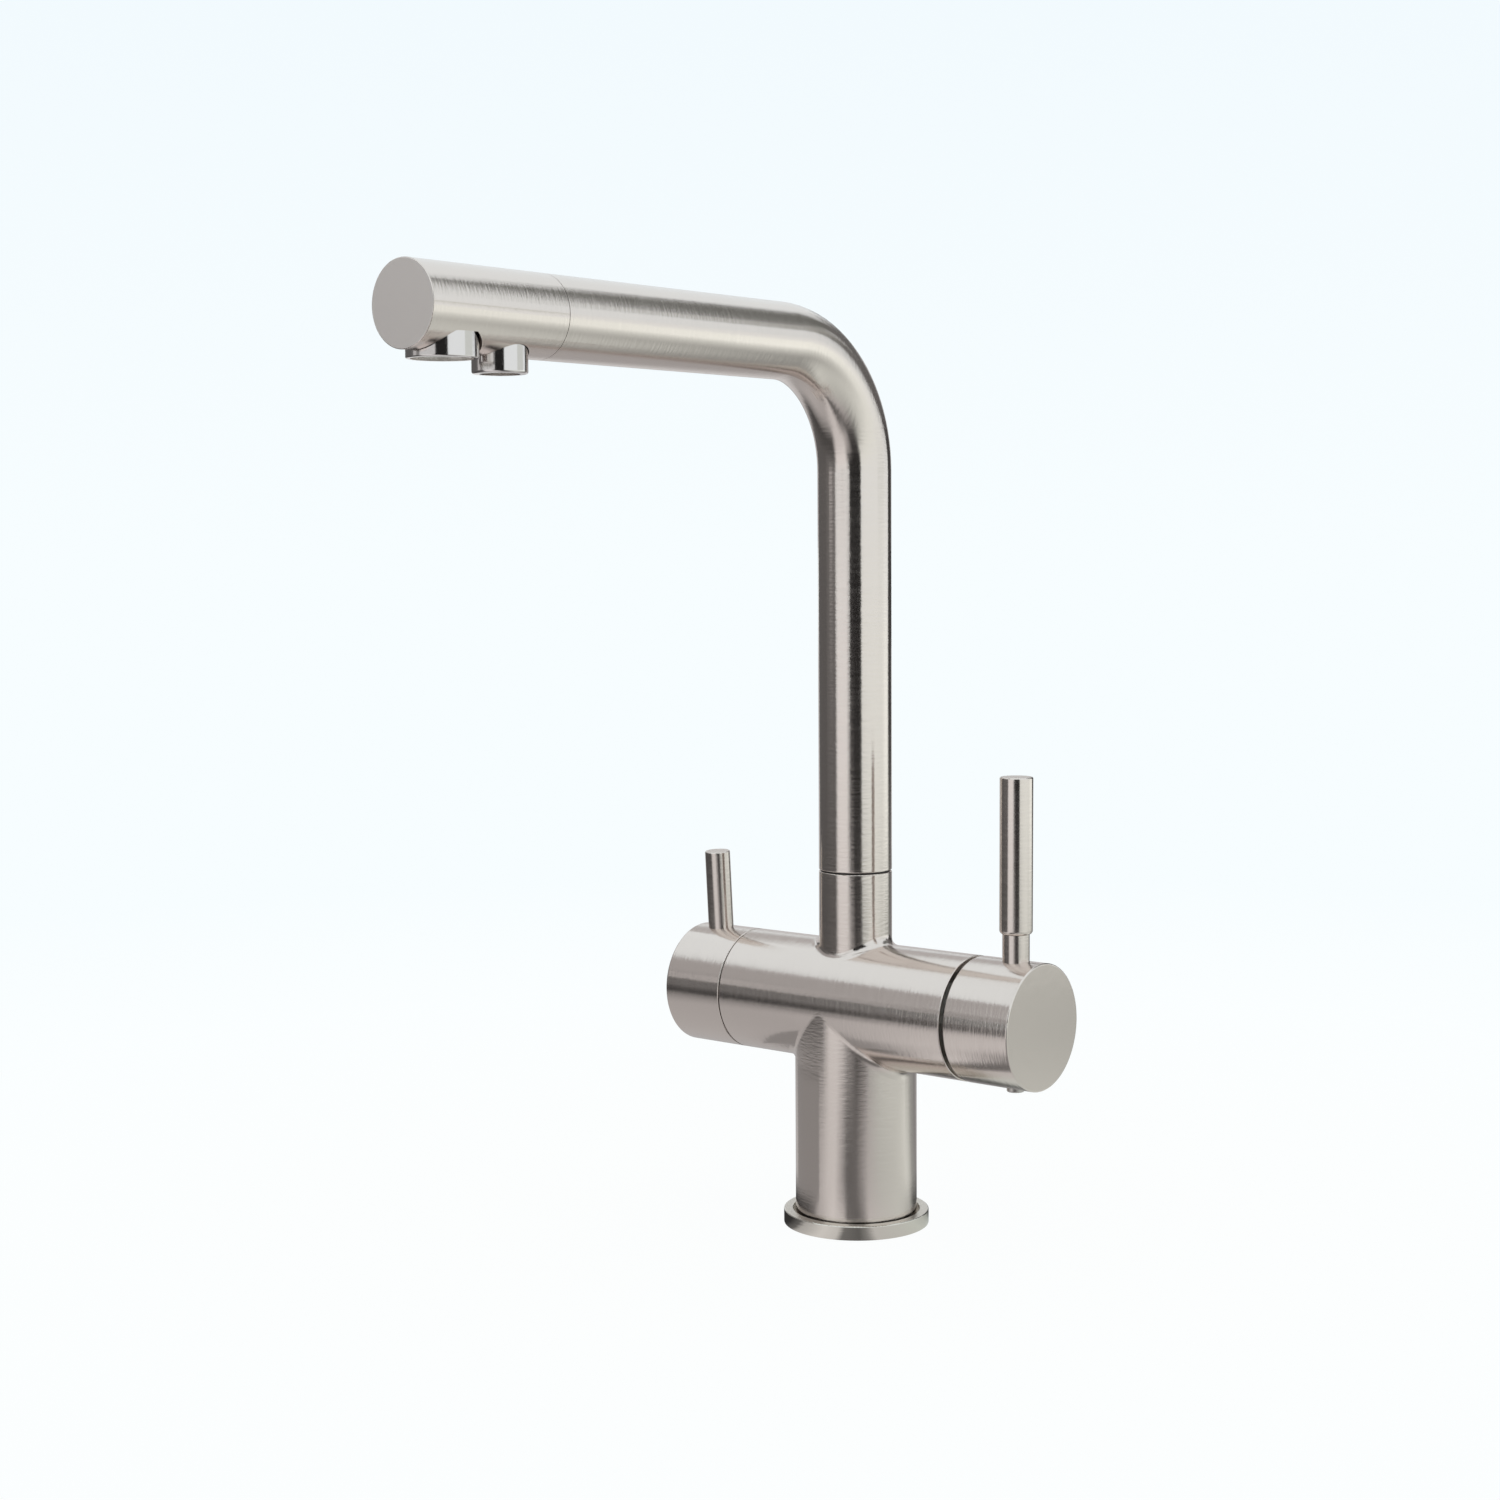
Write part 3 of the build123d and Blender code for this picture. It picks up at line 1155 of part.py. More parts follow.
# Inner hose: filtered water from the hose tail, up and along the spout, to the connector
hose_start = collar_floor + tail_hex_length + seat_clearance
hose_end = connector_face - tail_hex_length - seat_clearance
with BuildPart() as inner_filter_hose:
    with BuildLine(spout_section) as hose_path:
        Line((0, hose_start), (0, bend_foot))
        TangentArc((0, bend_foot), (bend_radius, spout_height), tangent=(0, 1))
        Line((bend_radius, spout_height), (hose_end, spout_height))
    with BuildSketch(Plane.XY.offset(hose_start)):
        Circle(hose_radius)
        Circle(hose_bore_radius, mode=Mode.SUBTRACT)
    sweep(path=hose_path.wires()[0])
inner_filter_hose.part.label = "inner_filter_hose"
export_step(inner_filter_hose.part, "parts/inner_filter_hose.step")

# Nozzle head: solid end of the spout, cross drilled to the two outlets
spigot_radius = tube_bore_radius - seat_clearance
nozzle_groove_radius = spigot_radius - nozzle_ring_section - seat_clearance
nozzle_ring_reach = connector_face + nozzle_ring_inset
nozzle_groove_width = nozzle_ring_section + 2 * seat_clearance
with BuildPart() as nozzle_head:
    with BuildSketch(spout_plane(nozzle_start)):
        Circle(tube_radius)
    extrude(amount=spout_reach - nozzle_start)
    fillet(nozzle_head.edges().sort_by(Axis.Y)[0], nozzle_end_round)
    with BuildSketch(spout_plane(connector_face)):
        Circle(spigot_radius)
    extrude(amount=nozzle_spigot_length)
    with BuildSketch(spout_plane(nozzle_ring_reach - nozzle_groove_width / 2)):
        Circle(tube_radius)
        Circle(nozzle_groove_radius, mode=Mode.SUBTRACT)
    extrude(amount=nozzle_groove_width, mode=Mode.SUBTRACT)

    # Two ducts of mixed water over the filter outlet, and the filtered water between them
    with BuildSketch(spout_plane(connector_face)):
        with Locations((-duct_offset, duct_rise), (duct_offset, duct_rise)):
            Circle(duct_radius)
    extrude(amount=aerator_reach - connector_face, mode=Mode.SUBTRACT)
    with BuildSketch(spout_plane(connector_face)):
        Circle(connector_socket_radius + seat_clearance)
    extrude(amount=connector_socket_depth + seat_clearance, mode=Mode.SUBTRACT)
    with BuildSketch(spout_plane(connector_face)):
        Circle(small_waterway_radius)
    extrude(amount=filter_reach - connector_face, mode=Mode.SUBTRACT)

    # Recess, thread and chamber of the main outlet
    with BuildSketch(outlet_plane(aerator_reach, tube_underside - overrun)):
        Circle(aerator_room)
    extrude(amount=outlet_seat - tube_underside + overrun, mode=Mode.SUBTRACT)
    with BuildSketch(outlet_plane(aerator_reach, outlet_seat)):
        Circle(aerator_thread_radius + seat_clearance)
    extrude(amount=aerator_thread_length + washer_thickness, mode=Mode.SUBTRACT)
    with BuildSketch(outlet_plane(aerator_reach, outlet_seat)):
        Circle(aerator_chamber_radius)
    extrude(amount=outlet_seat_drop + duct_rise, mode=Mode.SUBTRACT)

    # Recess, thread and chamber of the filtered water outlet
    with BuildSketch(outlet_plane(filter_reach, tube_underside - overrun)):
        Circle(filter_outlet_room)
    extrude(amount=outlet_seat - tube_underside + overrun, mode=Mode.SUBTRACT)
    with BuildSketch(outlet_plane(filter_reach, outlet_seat)):
        Circle(filter_outlet_thread_radius + seat_clearance)
    extrude(amount=filter_outlet_thread_length + washer_thickness, mode=Mode.SUBTRACT)
    with BuildSketch(outlet_plane(filter_reach, outlet_seat)):
        Circle(filter_outlet_chamber_radius)
    extrude(amount=outlet_seat_drop + filter_chamber_rise, mode=Mode.SUBTRACT)
nozzle_head.part.label = "nozzle_head"
export_step(nozzle_head.part, "parts/nozzle_head.step")

# Nozzle ring: the O-ring that seals the nozzle head in the tube
ring_centre_height = spout_height + spigot_radius - nozzle_ring_section / 2
with BuildPart() as nozzle_ring:
    with BuildSketch(spout_section):
        with Locations((nozzle_ring_reach, ring_centre_height)):
            Circle(nozzle_ring_section / 2)
    revolve(axis=Axis((0, 0, spout_height), (0, 1, 0)))
nozzle_ring.part.label = "nozzle_ring"
export_step(nozzle_ring.part, "parts/nozzle_ring.step")

# Aerator housing: the polished sleeve of the main outlet
aerator_foot = tube_underside - aerator_drop
aerator_top = outlet_seat + aerator_thread_length
aerator_bore_radius = aerator_radius - aerator_rim
with BuildPart() as aerator_housing:
    with BuildSketch(outlet_plane(aerator_reach, aerator_foot)):
        Circle(aerator_radius)
    extrude(amount=outlet_seat - aerator_foot)
    fillet(aerator_housing.edges().sort_by(Axis.Z)[0], outlet_edge)
    with BuildSketch(outlet_plane(aerator_reach, outlet_seat)):
        Circle(aerator_thread_radius)
    extrude(amount=aerator_thread_length)
    with BuildSketch(outlet_plane(aerator_reach, aerator_foot)):
        Circle(aerator_bore_radius)
    extrude(amount=aerator_top - aerator_foot, mode=Mode.SUBTRACT)
aerator_housing.part.label = "aerator_housing"
export_step(aerator_housing.part, "parts/aerator_housing.step")

# Aerator insert: the honeycomb that breaks up the stream
cell_rows = range(-4, 5)
cells = []
for row in cell_rows:
    for column in cell_rows:
        across = (column + (row % 2) / 2) * aerator_cell_pitch
        along = row * aerator_cell_pitch * sqrt(3) / 2
        if hypot(across, along) + aerator_cell_radius < aerator_grid_radius:
            cells.append((across, along))
with BuildPart() as aerator_insert:
    with BuildSketch(outlet_plane(aerator_reach, aerator_foot + aerator_insert_sink)):
        Circle(aerator_bore_radius - seat_clearance)
        with Locations(*cells):
            RegularPolygon(aerator_cell_radius, 6, rotation=30, mode=Mode.SUBTRACT)
    extrude(amount=aerator_insert_thickness)
aerator_insert.part.label = "aerator_insert"
export_step(aerator_insert.part, "parts/aerator_insert.step")

# Filter outlet: the polished sleeve that drops lower behind the main one
filter_outlet_foot = tube_underside - filter_outlet_drop
filter_outlet_top = outlet_seat + filter_outlet_thread_length
with BuildPart() as filter_outlet:
    with BuildSketch(outlet_plane(filter_reach, filter_outlet_foot)):
        Circle(filter_outlet_radius)
    extrude(amount=outlet_seat - filter_outlet_foot)
    fillet(filter_outlet.edges().sort_by(Axis.Z)[0], filter_outlet_edge)
    with BuildSketch(outlet_plane(filter_reach, outlet_seat)):
        Circle(filter_outlet_thread_radius)
    extrude(amount=filter_outlet_thread_length)
    with BuildSketch(outlet_plane(filter_reach, filter_outlet_foot)):
        Circle(filter_outlet_bore_radius)
    extrude(amount=filter_outlet_top - filter_outlet_foot, mode=Mode.SUBTRACT)
filter_outlet.part.label = "filter_outlet"
export_step(filter_outlet.part, "parts/filter_outlet.step")

# Stream straightener: six holes round one in the filter outlet
with BuildPart() as stream_straightener:
    with BuildSketch(outlet_plane(filter_reach, filter_outlet_foot + straightener_sink)):
        Circle(filter_outlet_bore_radius - seat_clearance)
        Circle(straightener_hole_radius, mode=Mode.SUBTRACT)
        with PolarLocations(straightener_circle_radius, 6):
            Circle(straightener_hole_radius, mode=Mode.SUBTRACT)
    extrude(amount=straightener_thickness)
stream_straightener.part.label = "stream_straightener"
export_step(stream_straightener.part, "parts/stream_straightener.step")

# Outlet washers: a rubber ring over each threaded sleeve
with BuildPart() as aerator_washer:
    with BuildSketch(outlet_plane(aerator_reach, aerator_top)):
        Circle(aerator_thread_radius)
        Circle(aerator_chamber_radius, mode=Mode.SUBTRACT)
    extrude(amount=washer_thickness)
aerator_washer.part.label = "aerator_washer"
export_step(aerator_washer.part, "parts/aerator_washer.step")

with BuildPart() as filter_outlet_washer:
    with BuildSketch(outlet_plane(filter_reach, filter_outlet_top)):
        Circle(filter_outlet_thread_radius)
        Circle(filter_outlet_chamber_radius, mode=Mode.SUBTRACT)
    extrude(amount=washer_thickness)
filter_outlet_washer.part.label = "filter_outlet_washer"
export_step(filter_outlet_washer.part, "parts/filter_outlet_washer.step")
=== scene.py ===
import json
from collections import namedtuple
from math import cos, pi, radians, sin

import bmesh
import bpy
from mathutils import Matrix, Vector


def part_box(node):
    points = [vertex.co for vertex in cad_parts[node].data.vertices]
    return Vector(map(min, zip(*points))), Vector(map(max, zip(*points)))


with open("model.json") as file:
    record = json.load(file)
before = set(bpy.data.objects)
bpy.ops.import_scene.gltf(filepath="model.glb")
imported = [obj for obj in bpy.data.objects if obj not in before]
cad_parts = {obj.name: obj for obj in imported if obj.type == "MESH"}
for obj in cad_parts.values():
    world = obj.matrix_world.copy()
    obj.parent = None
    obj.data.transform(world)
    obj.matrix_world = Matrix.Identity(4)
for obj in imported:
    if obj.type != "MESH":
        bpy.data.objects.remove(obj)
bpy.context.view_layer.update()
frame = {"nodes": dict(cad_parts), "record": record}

# Camera, as the photograph was taken: place in metres, angles in degrees, lens in millimetres
CAMERA_PLACE = Vector((0.5574, -0.7348, 0.2589))
CAMERA_AZIMUTH = 39.677
CAMERA_DOWN = 4.677
CAMERA_ROLL = -0.357
LENS = 58.09
SENSOR = 36.0
CLIP_NEAR = 0.01
CLIP_FAR = 50.0

# Studio, in metres
STUDIO_CENTRE = Vector((0, 0, 0.15))
FLOOR_RADIUS = 7.0
FLOOR_SIDES = 96
FLOOR_DROP = 0.0004
CARD_DISTANCE = 1.7
PANEL_DISTANCE = 0.35
FOOT_PANEL_DISTANCE = 0.045
CARD_COLUMNS = 24
CARD_ROWS = 8

# Pale surroundings, and the sine of the elevation at which the top tone is reached
PALE_TOP = (0.888, 0.956, 0.991)
PALE_HORIZON = (0.930, 0.982, 1.0)
PALE_NEAR = (0.985, 1.0, 1.0)
PALE_RISE = 0.22
AMBIENT_TONE = (1, 0.99, 0.975)
AMBIENT_STRENGTH = 0.55

# Ground: its matt tone, the distances over which its pale tone fades to the horizon's, and those
# over which the glowing share of that tone grows. The rest of it is lit, so it shows a shadow
MATT_TONE = (0.8, 0.8, 0.8)
PALE_REACH = (0.15, 1.0)
SHADOW_REACH = (0.1, 0.5)
GLOW_SHARE = (0.97, 1.0)

# How light the studio floor looks in the metal, as (degrees from the front toward +X, level). The
# floor only glows for the metal, so the foot floor holds painted shadow: the tap's shade round its
# foot
SHADOWED_FOOT_FLOOR = [(-180, 0.12), (-100, 0.03), (-47, 0.04), (-31, 0.16), (-24, 0.50), (-12, 0.60),
              (2, 0.78), (18, 0.68), (24, 0.20), (40, 0.14), (48, 0.28), (56, 0.62), (107, 0.70),
              (125, 0.60), (136, 0.46), (150, 0.08)]
NEAR_FLOOR = [(-180, 0.26), (-165, 0.42), (-120, 0.50), (-95, 0.52), (-75, 0.50), (-42, 0.46),
              (-28, 0.56), (-12, 0.69), (0, 0.70), (12, 0.36), (20, 0.12), (36, 0.18), (46, 0.36),
              (56, 0.52), (80, 0.60), (108, 0.66), (125, 0.74), (137, 0.86), (147, 0.70),
              (158, 0.40)]
MIDDLE_FLOOR = [(-180, 0.20), (-165, 0.40), (-120, 0.40), (-100, 0.08), (-40, 0.06),
                (-28, 0.05), (-20, 0.40), (-14, 0.72), (12, 0.75), (27, 0.48), (37, 0.06),
                (50, 0.06), (62, 0.26), (82, 0.66), (102, 0.78), (120, 0.64), (143, 0.50),
                (152, 0.36), (165, 0.34)]
FAR_FLOOR = [(-180, 0.12), (-155, 0.40), (-140, 0.90), (-120, 0.60), (-105, 0.12), (-26, 0.12),
             (-18, 0.90), (11, 0.90), (21, 0.04), (54, 0.04), (61, 1.0), (130, 1.0), (138, 1.22),
             (158, 1.22), (170, 0.12)]
FLOORS = (SHADOWED_FOOT_FLOOR, NEAR_FLOOR, MIDDLE_FLOOR, FAR_FLOOR)

# Distances from the tap's axis over which one of these floors gives way to the next
FLOOR_CHANGES = ((0.05, 0.09), (0.22, 0.50), (0.55, 1.35))

# Tints of the mirrored studio, and the azimuths that have the right one
LEFT_TINT = (0.985, 0.975, 0.985)
RIGHT_TINT = (0.930, 0.985, 0.955)
RIGHT_SIDE = (60, 178)

# Metal: its tones, its roughness on sides and end faces, how far strokes draw out its highlights,
# and the cosine to the piece's axis from which a face is an end face
STEEL = (0.785, 0.712, 0.662)
FLANGE_STEEL = (0.76, 0.72, 0.655)
# Painted shade: the caps' end faces are a darker copy of the steel, standing in for the dimmer
# light they mirror
CAP_FACE_SHADED_STEEL = (0.718, 0.648, 0.600)
# Painted light: the nozzle's end face is a lighter copy of the steel, standing in for the brighter
# light it mirrors
NOZZLE_FACE_LIT_STEEL = (0.905, 0.85, 0.81)
ROUGH = 0.17
FACE_ROUGH = 0.38
DRAWN = 0.8
END_FACE_COSINE = 0.95

# Grain: the scale, strength and depth of its relief, the scale of the clouds in its tone, and
# how dark they are at most, as a share of that tone
Grain = namedtuple("Grain", "scale strength depth cloud_scale darkest")
METAL_GRAIN = Grain(scale=900.0, strength=0.15, depth=0.00001, cloud_scale=14.0, darkest=0.97)
MOULDED_GRAIN = Grain(scale=400.0, strength=0.3, depth=0.00003, cloud_scale=25.0, darkest=0.92)
GRAIN_DETAIL = 3.0
CLOUD_DETAIL = 2.0
NOISE_RANGE = (0.3, 0.7)
GLOSS_SPREAD = 0.15

# Brushing: how many times longer than wide its strokes and its waves are, and the waves' relief
STROKE_LENGTH = 16.0
WAVE_LENGTH = 5.0
WAVE_SCALE = 1100.0
WAVE_STRENGTH = 1.0
WAVE_DEPTH = 0.00006
LEVER_WAVE_DEPTH = 0.00003

CROSSWISE = (1, 0, 0)
FORWARD = (0, 1, 0)
UPRIGHT = (0, 0, 1)

# Places where the brushing turns, in metres, and the collar's start as a share of the barrel's
# radius. The barrel's axis and the bend's centre come from the nodes that share them
COLLAR_START = 0.9
COLLAR_SPREAD = 0.0160
STROKES_TURN_HEIGHT = 0.305
BEND_RADIUS = 0.046
cap_low, cap_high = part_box("filter_handle_cap")
barrel_height = (cap_high.z + cap_low.z) / 2
barrel_radius = (cap_high.z - cap_low.z) / 2
nozzle_low, nozzle_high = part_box("nozzle_head")
arm_height = (nozzle_high.z + nozzle_low.z) / 2
bend_centre = {"Y": -BEND_RADIUS, "Z": arm_height - BEND_RADIUS}


def tree_of(owner):
    """Empty node tree of a material or a world."""
    owner.use_nodes = True
    owner.node_tree.nodes.clear()
    return owner.node_tree


def feed(tree, value, socket):
    """Link a socket to another, or set it to a plain number, vector or tone."""
    if isinstance(value, bpy.types.NodeSocket):
        tree.links.new(value, socket)
    elif socket.type == "RGBA":
        socket.default_value = (*value, 1)
    else:
        socket.default_value = value


def add(tree, kind, **inputs):
    """New node, with what feeds its sockets. A keyword has _ where the socket has a space."""
    node = tree.nodes.new(kind)
    for name, value in inputs.items():
        feed(tree, value, node.inputs[name.replace("_", " ")])
    return node


def calculated(tree, operation, *terms):
    """Result of a Math node."""
    node = tree.nodes.new("ShaderNodeMath")
    node.operation = operation
    for term, socket in zip(terms, node.inputs):
        feed(tree, term, socket)
    return node.outputs[0]


def calculated_vector(tree, operation, *terms):
    """Result of a Vector Math node, which is a number for a length or a dot product."""
    node = tree.nodes.new("ShaderNodeVectorMath")
    node.operation = operation
    for term, socket in zip(terms, node.inputs):
        feed(tree, term, socket)
    return node.outputs["Value" if operation in ("LENGTH", "DOT_PRODUCT") else "Vector"]


def mapped(tree, value, source, target=(0.0, 1.0)):
    """Value carried from one range to another, and held at the ends."""
    node = add(tree, "ShaderNodeMapRange", Value=value, From_Min=source[0], From_Max=source[1],
               To_Min=target[0], To_Max=target[1])
    return node.outputs["Result"]


def mixed(tree, kind, share, first, second):
    """Mix of two colours (RGBA) or vectors (VECTOR): the second where share is 1."""
    node = tree.nodes.new("ShaderNodeMix")
    node.data_type = kind
    for name, value in (("Factor", share), ("A", first), ("B", second)):
        feed(tree, value, node.inputs[name])
    return node.outputs["Result"]


def mixed_shader(tree, share, first, second):
    """Mix of two shaders: the second where share is 1."""
    node = tree.nodes.new("ShaderNodeMixShader")
    for value, socket in zip((share, first, second), node.inputs):
        feed(tree, value, socket)
    return node.outputs[0]


def coordinates(tree, place):
    """The three numbers of a place, by their axes."""
    parts = add(tree, "ShaderNodeSeparateXYZ", Vector=place)
    return {axis: parts.outputs[axis] for axis in "XYZ"}


def glow(tree, tone):
    """Shader that shows a tone as it is, whatever the light."""
    return add(tree, "ShaderNodeEmission", Color=tone, Strength=1.0).outputs[0]


def make_object(name, data):
    """New object in the scene, at the origin."""
    obj = bpy.data.objects.new(name, data)
    bpy.context.scene.collection.objects.link(obj)
    return obj


def away(azimuth, elevation):
    """Direction away from the tap, by degrees from the front toward +X and above the horizon."""
    turn, rise = radians(azimuth), radians(elevation)
    return Vector((sin(turn) * cos(rise), -cos(turn) * cos(rise), sin(rise)))


def make_camera():
    """Camera where the photograph was taken from."""
    turn, roll = radians(CAMERA_AZIMUTH), radians(CAMERA_ROLL)
    back = away(CAMERA_AZIMUTH, CAMERA_DOWN)
    right = Vector((cos(turn), sin(turn), 0))
    up = back.cross(right)
    side = right * cos(roll) + up * sin(roll)
    top = up * cos(roll) - right * sin(roll)
    data = bpy.data.cameras.new("camera")
    data.lens = LENS
    data.sensor_width = SENSOR
    data.clip_start = CLIP_NEAR
    data.clip_end = CLIP_FAR
    camera = make_object("camera", data)
    turned = Matrix((side, top, back)).transposed().to_4x4()
    camera.matrix_world = Matrix.Translation(CAMERA_PLACE) @ turned
    bpy.context.scene.camera = camera


def make_world():
    """Pale backdrop, seen directly, in metal and through glass, over a plain, even light."""
    world = bpy.data.worlds.new("studio")
    bpy.context.scene.world = world
    tree = tree_of(world)
    direction = tree.nodes.new("ShaderNodeTexCoord").outputs["Generated"]
    rise = mapped(tree, coordinates(tree, direction)["Z"], (0.0, PALE_RISE))
    tone = mixed(tree, "RGBA", rise, PALE_HORIZON, PALE_TOP)
    pale = add(tree, "ShaderNodeBackground", Color=tone, Strength=1.0)
    light = add(tree, "ShaderNodeBackground", Color=AMBIENT_TONE, Strength=AMBIENT_STRENGTH)
    path = tree.nodes.new("ShaderNodeLightPath").outputs
    seen = calculated(tree, "MAXIMUM", path["Is Camera Ray"], path["Is Glossy Ray"])
    seen = calculated(tree, "MAXIMUM", seen, path["Is Transmission Ray"])
    surroundings = mixed_shader(tree, seen, light.outputs[0], pale.outputs[0])
    add(tree, "ShaderNodeOutputWorld", Surface=surroundings)


def studio_grey(azimuth, level):
    """Mirrored tone: faintly rosy to the left and in front, and faintly green to the right."""
    start, end = RIGHT_SIDE
    tint = RIGHT_TINT if start <= azimuth <= end else LEFT_TINT
    return tuple(level * share for share in tint)


def azimuth_tone(tree, turned, levels):
    """Tone that changes with the azimuth, from a table that starts at -180 degrees and is
    closed here at 180. New stops get their places once all of them are there."""
    table = levels + [(180, levels[0][1])]
    ramp = add(tree, "ShaderNodeValToRGB", Fac=turned)
    stops = ramp.color_ramp.elements
    while len(stops) < len(table):
        stops.new(0.5)
    for stop, (azimuth, level) in zip(stops, table):
        stop.position = (azimuth + 180) / 360
    for stop, (azimuth, level) in zip(stops, table):
        stop.color = (*studio_grey(azimuth, level), 1)
    return ramp.outputs["Color"]


def mirrored_floor(tree, place, distance):
    """Tone that metal sees on the ground, by the azimuth and the distance from the tap. Close
    round the tap it holds painted shadow of the tap.
    """
    at = coordinates(tree, place)
    front = calculated(tree, "MULTIPLY", at["Y"], -1.0)
    turned = mapped(tree, calculated(tree, "ARCTAN2", at["X"], front), (-pi, pi))
    tone, *farther = [azimuth_tone(tree, turned, levels) for levels in FLOORS]
    for change, next_tone in zip(FLOOR_CHANGES, farther):
        tone = mixed(tree, "RGBA", mapped(tree, distance, change), tone, next_tone)
    return tone


def pale_ground():
    """Ground that the camera sees pale, metal sees as the studio floor with painted shadow round
    the tap, and light sees matt.
    """
    material = bpy.data.materials.new("pale_ground")
    tree = tree_of(material)
    place = tree.nodes.new("ShaderNodeTexCoord").outputs["Object"]
    distance = calculated_vector(tree, "LENGTH", place)
    faded = mapped(tree, distance, PALE_REACH)
    shown = glow(tree, mixed(tree, "RGBA", faded, PALE_NEAR, PALE_HORIZON))
    mirrored = glow(tree, mirrored_floor(tree, place, distance))
    matt = add(tree, "ShaderNodeBsdfDiffuse", Color=MATT_TONE).outputs[0]
    path = tree.nodes.new("ShaderNodeLightPath").outputs
    lit = mixed_shader(tree, path["Is Glossy Ray"], matt, mirrored)
    seen = calculated(tree, "MAXIMUM", path["Is Camera Ray"], path["Is Transmission Ray"])
    share = calculated(tree, "MULTIPLY", seen, mapped(tree, distance, SHADOW_REACH, GLOW_SHARE))
    add(tree, "ShaderNodeOutputMaterial", Surface=mixed_shader(tree, share, lit, shown))
    return material


def make_floor():
    """Round ground that reaches the horizon, just under the tap's flange."""
    mesh = bpy.data.meshes.new("floor")
    shape = bmesh.new()
    bmesh.ops.create_circle(shape, cap_ends=True, segments=FLOOR_SIDES, radius=FLOOR_RADIUS)
    bmesh.ops.translate(shape, verts=shape.verts, vec=(0, 0, -FLOOR_DROP))
    shape.to_mesh(mesh)
    shape.free()
    mesh.materials.append(pale_ground())
    make_object("floor", mesh)


def make_reflector(name, start, end, level, place):
    """Sheet of one level between two azimuths, seen only in reflections. Place gives a point of
    it from an azimuth and a share of its height."""
    mesh = bpy.data.meshes.new(name)
    shape = bmesh.new()
    columns = [
        [shape.verts.new(place(start + (end - start) * i / CARD_COLUMNS, j / CARD_ROWS))
         for j in range(CARD_ROWS + 1)]
        for i in range(CARD_COLUMNS + 1)
    ]
    for left, right in zip(columns, columns[1:]):
        for j in range(CARD_ROWS):
            shape.faces.new((left[j], right[j], right[j + 1], left[j + 1]))
    shape.to_mesh(mesh)
    shape.free()
    card = make_object(name, mesh)
    card.visible_camera = False
    card.visible_diffuse = False
    card.visible_shadow = False
    card.visible_transmission = False
    material = bpy.data.materials.new(name)
    mesh.materials.append(material)
    tree = tree_of(material)
    tone = studio_grey((start + end) / 2, level)
    add(tree, "ShaderNodeOutputMaterial", Surface=glow(tree, tone))


def make_card(name, start, end, low, high, level):
    """Curved card far round the tap, between two azimuths and two elevations in degrees."""
    def place(azimuth, share):
        return STUDIO_CENTRE + away(azimuth, low + (high - low) * share) * CARD_DISTANCE
    make_reflector(name, start, end, level, place)


def make_panel(name, start, end, bottom, top, level, distance=PANEL_DISTANCE):
    """Upright curved panel close to the tap, between two azimuths and two heights."""
    def place(azimuth, share):
        return away(azimuth, 0) * distance + Vector((0, 0, bottom + (top - bottom) * share))
    make_reflector(name, start, end, level, place)


def make_softbox(name, azimuth, elevation, distance, size, radiance):
    """Rectangular lamp aimed at the tap's middle, which metal doesn't mirror. Its power is what
    gives it that radiance at its size."""
    back = away(azimuth, elevation)
    data = bpy.data.lights.new(name, "AREA")
    data.shape = "RECTANGLE"
    data.size, data.size_y = size
    data.energy = radiance * pi * size[0] * size[1]
    lamp = make_object(name, data)
    lamp.location = STUDIO_CENTRE + back * distance
    lamp.rotation_mode = "QUATERNION"
    lamp.rotation_quaternion = back.to_track_quat("Z", "Y")
    lamp.visible_glossy = False


def new_surface(name):
    """New material, its tree, and the places on the piece that its patterns are tied to."""
    material = bpy.data.materials.new(name)
    tree = tree_of(material)
    return material, tree, tree.nodes.new("ShaderNodeTexCoord").outputs["Object"]


def noise(tree, place, scale, detail=GRAIN_DETAIL):
    """Random pattern from 0 to 1."""
    return add(tree, "ShaderNodeTexNoise", Vector=place, Scale=scale, Detail=detail).outputs[0]


def clouded(tree, place, tone, grain):
    """Tone that slowly changes over the piece."""
    clouds = noise(tree, place, grain.cloud_scale, CLOUD_DETAIL)
    return mixed(tree, "RGBA", clouds, tuple(part * grain.darkest for part in tone), tone)


def varied_gloss(tree, pattern, rough):
    """Roughness that follows a pattern, a little to both sides of its middle value."""
    ends = (rough * (1 - GLOSS_SPREAD), rough * (1 + GLOSS_SPREAD))
    return mapped(tree, pattern, NOISE_RANGE, ends)


def relief(tree, height, strength, depth, **under):
    """Surface direction with the relief of a pattern, over another surface direction if given."""
    node = add(tree, "ShaderNodeBump", Height=height, Strength=strength, Distance=depth, **under)
    return node.outputs[0]


def strokes_round(tree, place, axis, scale, length):
    """Noise drawn out round the axis, like the strokes that a brush leaves on a turned piece."""
    width = 1 / length
    stretch = calculated_vector(tree, "MULTIPLY_ADD", axis, (1 - width,) * 3, (width,) * 3)
    return noise(tree, calculated_vector(tree, "MULTIPLY", place, stretch), scale)


def end_face(tree, axis):
    """1 on faces that are square to the piece's axis or nearly so, and 0 on its sides."""
    normal = tree.nodes.new("ShaderNodeNewGeometry").outputs["Normal"]
    cosine = calculated(tree, "ABSOLUTE", calculated_vector(tree, "DOT_PRODUCT", normal, axis))
    return calculated(tree, "GREATER_THAN", cosine, END_FACE_COSINE)


def fixed_axis(vector):
    """Axis that is the same all over the piece."""
    def along(tree, place):
        return add(tree, "ShaderNodeCombineXYZ", **dict(zip("XYZ", vector))).outputs[0]
    return along


